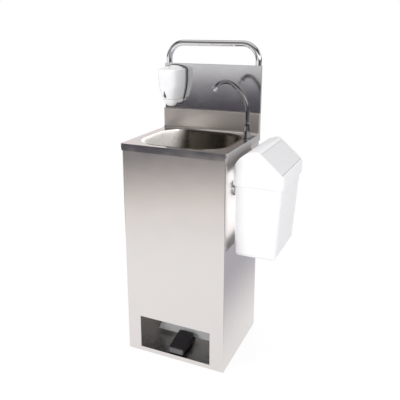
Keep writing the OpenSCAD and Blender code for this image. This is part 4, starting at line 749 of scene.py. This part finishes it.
def rounded_ring(half_x, half_y, corner, z, steps=24):
    """Rectangle with round corners about the bowl's middle."""
    ring = []
    for k, (side_x, side_y) in enumerate(((1, 1), (-1, 1), (-1, -1), (1, -1))):
        for i in range(steps + 1):
            t = math.radians(90 * k + 90 * i / steps)
            ring.append((side_x * (half_x - corner) + corner * math.cos(t),
                         BOWL_Y + side_y * (half_y - corner) + corner * math.sin(t), z))
    return ring


def bowl_rings():
    rings = []
    for out, lift in BOWL_LIP:
        rings.append(rounded_ring(BOWL_HALF[0] + out, BOWL_HALF[1] + out, BOWL_CORNER + out,
                                  RIM_Z + lift))
    for share, depth in curve_through(BOWL_PROFILE, BOWL_STEPS):
        half_x, half_y, corner = (h + (DRAIN_R - h) * share for h in (*BOWL_HALF, BOWL_CORNER))
        widest = min(half_x, half_y)
        if corner >= widest:
            corner = widest - BOWL_LIFT * share
        rings.append(rounded_ring(half_x, half_y, corner, RIM_Z + BOWL_LIFT - depth * BOWL_DEPTH))
    return rings


bowl = skin("pressed_bowl", bowl_rings(), "sheet_pressed_painted_light", "station", "basin_bowl",
            outward=BOWL_SHEET)

# %% [markdown]
# ## A light for the bowl
# In a studio, a softbox above the bowl makes its left wall shine. Here such a lamp would also
# bleach the deck and the splashback, so it is linked to the bowl alone. It may be mirrored, and
# that gives the wall its soft shine.

# %% Light the bowl
GLOW_PLACE = (0.33, 0.06, 2.2)
GLOW_AIM = (-0.13, 0.05, 0.8)
GLOW_SIZE = (0.45, 0.45)
GLOW_WATTS = 22

bowl_only = bpy.data.collections.new("bowl_only")
bowl_only.objects.link(bowl)
bowl_glow = lamp("bowl_glow", GLOW_PLACE, GLOW_AIM, GLOW_SIZE, GLOW_WATTS, mirrored=True)
bowl_glow.light_linking.receiver_collection = bowl_only

# %% [markdown]
# ## The swan neck
# The spout rises straight from the tap, leans over in a long curve and dips in a short one. A
# bevelled curve would do, but rings set square to two arcs keep the tube round and open at its
# end, with a wall.

# %% Bend the spout
TAP = (0.199, 0.0705)
SPOUT_R = 0.008
SPOUT_WALL = 0.0015
SPOUT_TURN = math.radians(20)
SPOUT_STAND = (0.9375, 0.977)
STAND_STEPS = 4
SPOUT_ARCS = ((0.144, math.radians(55)), (0.043, math.radians(144)))
ARC_STEPS = 32
SPOUT_END = 0.010


def spout_line():
    """Points of the tube's middle as reach and height, each with its tilt."""
    foot, reach, z, tilt = SPOUT_STAND[0], 0.0, SPOUT_STAND[1], 0.0
    line = [((reach, foot + (z - foot) * i / STAND_STEPS), tilt) for i in range(STAND_STEPS + 1)]
    for radius, last in SPOUT_ARCS:
        for i in range(1, ARC_STEPS + 1):
            t = tilt + (last - tilt) * i / ARC_STEPS
            line.append(((reach + radius * (math.cos(tilt) - math.cos(t)),
                          z + radius * (math.sin(t) - math.sin(tilt))), t))
        (reach, z), tilt = line[-1]
    line.append(((reach + SPOUT_END * math.sin(tilt), z + SPOUT_END * math.cos(tilt)), tilt))
    return line


def tube_rings(line, radius, sides=40):
    """Circles about the line, which leans from the tap towards the bowl."""
    c, s = math.cos(SPOUT_TURN), math.sin(SPOUT_TURN)
    across = Vector((-s, c, 0))
    rings = []
    for (reach, z), tilt in line:
        way = Vector((-math.sin(tilt) * c, -math.sin(tilt) * s, math.cos(tilt)))
        over = across.cross(way)
        middle = Vector((TAP[0] - reach * c, TAP[1] - reach * s, z))
        rings.append([middle + radius * (across * math.cos(2 * math.pi * k / sides)
                                         + over * math.sin(2 * math.pi * k / sides))
                      for k in range(sides)])
    return rings


skin("swan_neck", tube_rings(spout_line(), SPOUT_R), "tube_painted_shade", "spout_arm", "spout",
     inward=SPOUT_WALL)
print("spout tip", [round(v, 3) for v in spout_line()[-1][0]])

# %% [markdown]
# ## The soap dispenser
# Its cover stands on the back plate. In plan it is half of a shape between an oval and a square,
# squarer towards its rim. It swells from the seam to the rim and closes with a low dome, which
# leaves room for the hinge at the back. The lever below the seam carries the shape on to a
# narrow foot. A box with rounded edges would miss that swell, so the plan is worked out ring by
# ring.

# %% Plan of the dispenser
SOAP_X = -0.162
SOAP_BACK = 0.17415
SOAP_Z = 1.010
SOAP_HALF = 0.051
SOAP_DEEP = 0.092
SOAP_TALL = 0.125
SOAP_WALL = 0.0025
SEAM_SQUARE = 3.3
RIM_SQUARE = 3.8
SQUARE_UP_TO = 0.5
SHARE_STEPS = 5


def squared(value, square):
    return math.copysign(abs(value) ** (2 / square), value)


def squareness(z):
    """How square the plan is: 2 would be an oval. It grows up to half the cover's height."""
    share = min(1.0, max(0.0, (z - SOAP_Z) / SOAP_TALL / SQUARE_UP_TO))
    return SEAM_SQUARE + (RIM_SQUARE - SEAM_SQUARE) * share * share * (3 - 2 * share)


def half_oval(wide, deep, z, start=0.0, steps=72):
    """Front half of the plan, from the start angle to as far from its other end."""
    square = squareness(z)
    ring = []
    for i in range(steps + 1):
        t = math.radians(start + (180 - 2 * start) * i / steps)
        ring.append((SOAP_X + wide * squared(math.cos(t), square),
                     SOAP_BACK - deep * squared(math.sin(t), square), z))
    return ring


print("squareness at the seam and the rim", squareness(SOAP_Z), squareness(SOAP_Z + SOAP_TALL))

# %% Mould the cover
SOAP_ARCH = 0.014
RIM_ROUND = 0.0025
RIM_FROM = 0.96
RIM_STEPS = 8
DOME_STEPS = 14
DOME_END = 0.93
HINGE_HALF = 0.024
HINGE_GAP = 0.0056
WIDEST_GAP = 0.99
COVER_SHARES = [
    # share of the height, share of the width, share of the depth
    (0.0, 0.70, 0.80), (0.12, 0.79, 0.87), (0.27, 0.88, 0.93), (0.42, 0.95, 0.97),
    (0.6, 0.99, 0.99), (0.8, 1.0, 1.0), (1.0, 1.0, 1.0)]


def dome_start(share):
    """Angle at which a ring of the dome starts, so that it stays clear of the hinge."""
    if share * SOAP_HALF >= HINGE_HALF:
        return 0.0
    gap = min(WIDEST_GAP, HINGE_GAP / (share * (SOAP_DEEP - RIM_ROUND)))
    return math.degrees(math.asin(gap ** (RIM_SQUARE / 2)))


def cover_rings():
    rings = []
    for up, w, d in curve_through(COVER_SHARES, SHARE_STEPS):
        if up < RIM_FROM:
            rings.append(half_oval(w * SOAP_HALF, d * SOAP_DEEP, SOAP_Z + SOAP_TALL * up))
    for k in range(RIM_STEPS + 1):
        turn = math.radians(90 * k / RIM_STEPS)
        pull = RIM_ROUND * (1 - math.cos(turn))
        rings.append(half_oval(SOAP_HALF - pull, SOAP_DEEP - pull,
                               SOAP_Z + SOAP_TALL - RIM_ROUND * (1 - math.sin(turn))))
    for k in range(1, DOME_STEPS + 1):
        share = 1 - DOME_END * k / DOME_STEPS
        rings.append(half_oval(share * (SOAP_HALF - RIM_ROUND), share * (SOAP_DEEP - RIM_ROUND),
                               SOAP_Z + SOAP_TALL + SOAP_ARCH * (1 - share * share),
                               dome_start(share)))
    return rings


skin("dispenser_cover", cover_rings(), "gloss_white", "soap_hood", "soap_cover",
     loop=False, inward=SOAP_WALL)

# %% Mould the lever
LEVER_DROP = 0.030
SEAM = 0.0012
LEVER_EDGE = 0.048
LEVER_TIP = (0.02, 0.55)
TIP_START = 40
LEVER_SHARES = [
    # share of the height, share of the width, share of the depth
    (0.0, 0.30, 0.56), (0.1, 0.42, 0.64), (0.3, 0.54, 0.71), (0.6, 0.63, 0.765),
    (1.0, 0.695, 0.798)]


def lever_rings():
    """Rings from the foot to the seam, which end at the lever's rear edge."""
    foot = SOAP_Z - LEVER_DROP
    rings = [half_oval(LEVER_TIP[0] * SOAP_HALF, LEVER_TIP[1] * SOAP_DEEP, foot, TIP_START)]
    for up, w, d in curve_through(LEVER_SHARES, SHARE_STEPS):
        edge = min(1.0, LEVER_EDGE / (d * SOAP_DEEP))
        rings.append(half_oval(w * SOAP_HALF, d * SOAP_DEEP, foot + (LEVER_DROP - SEAM) * up,
                               math.degrees(math.asin(edge ** (SEAM_SQUARE / 2)))))
    return rings


skin("dispenser_lever", lever_rings(), "gloss_white", "soap_press", "soap_lever",
     loop=False, inward=SOAP_WALL)

# %% [markdown]
# ## The level window
# A small dark window in the shape of a drop shows how much soap is left. A flat plate would
# stand off the curved cover at its edges, so every point of the drop is laid on the cover's own
# surface and lifted a fraction of a millimetre off it.

# %% Set the level window in the cover
DROP_X = 0.0115
DROP_UP = 0.014
DROP_R = 0.0065
DROP_H = 0.024
DROP_RISE = 0.004
DROP_BEND = 0.9
DROP_PINCH = 1.1
DROP_RINGS = [
    # size, lift off the cover
    (1.0, -0.001), (1.0, 0.0004), (0.85, 0.0007), (0.45, 0.0008), (0.02, 0.0008)]


def cover_shares(up):
    """Shares of the width and the depth at a share of the height."""
    for low, high in zip(COVER_SHARES, COVER_SHARES[1:]):
        if low[0] <= up <= high[0]:
            share = (up - low[0]) / (high[0] - low[0])
            return [a + (b - a) * share for a, b in zip(low[1:], high[1:])]


def on_cover(x, z, lift):
    """Point of the cover's front at the offset x and the height z, lifted off its surface."""
    w, d = cover_shares((z - SOAP_Z) / SOAP_TALL)
    wide, deep = w * SOAP_HALF, d * SOAP_DEEP
    power = squareness(z)
    y = SOAP_BACK - deep * max(0.0, 1 - abs(x / wide) ** power) ** (1 / power)
    across = math.copysign(abs(x / wide) ** (power - 1), x) / wide
    ahead = -(((SOAP_BACK - y) / deep) ** (power - 1)) / deep
    out = Vector((across, ahead, 0)).normalized()
    return Vector((SOAP_X + x, y, z)) + out * lift


def drop_ring(size, lift, steps=24):
    """Outline of the drop: half a circle below, and two sides that meet in a point above."""
    ring = []
    for i in range(2 * steps):
        t = math.pi * i / steps
        if math.sin(t) <= 0:
            u, v = DROP_R * math.cos(t), DROP_R * math.sin(t)
        else:
            v = DROP_H * (1 - abs(math.cos(t))) ** DROP_BEND
            u = DROP_R * math.copysign((1 - v / DROP_H) ** DROP_PINCH, math.cos(t))
        rise = v * size + DROP_RISE * (1 - size)
        ring.append(on_cover(u * size - DROP_X, SOAP_Z + DROP_UP + rise, lift))
    return ring


skin("drop_window", [drop_ring(size, lift) for size, lift in DROP_RINGS], "window_dark",
     "soap_hood", "level_window")

# %% [markdown]
# ## The pump under the pedal
# The bellows and the spring inside them shorten when the foot presses. A chain of bones could
# fold them, but a squeeze towards the pump's base is all that can be seen of it. They stand on
# that base. Here each of them only gets a mesh of its own.

# %% Give the pump's soft pieces meshes of their own
PUMP_SOFT = ("pump_bellows", "pump_spring")

for member in PUMP_SOFT:
    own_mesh(nodes[member])
print("squeezed", PUMP_SOFT)
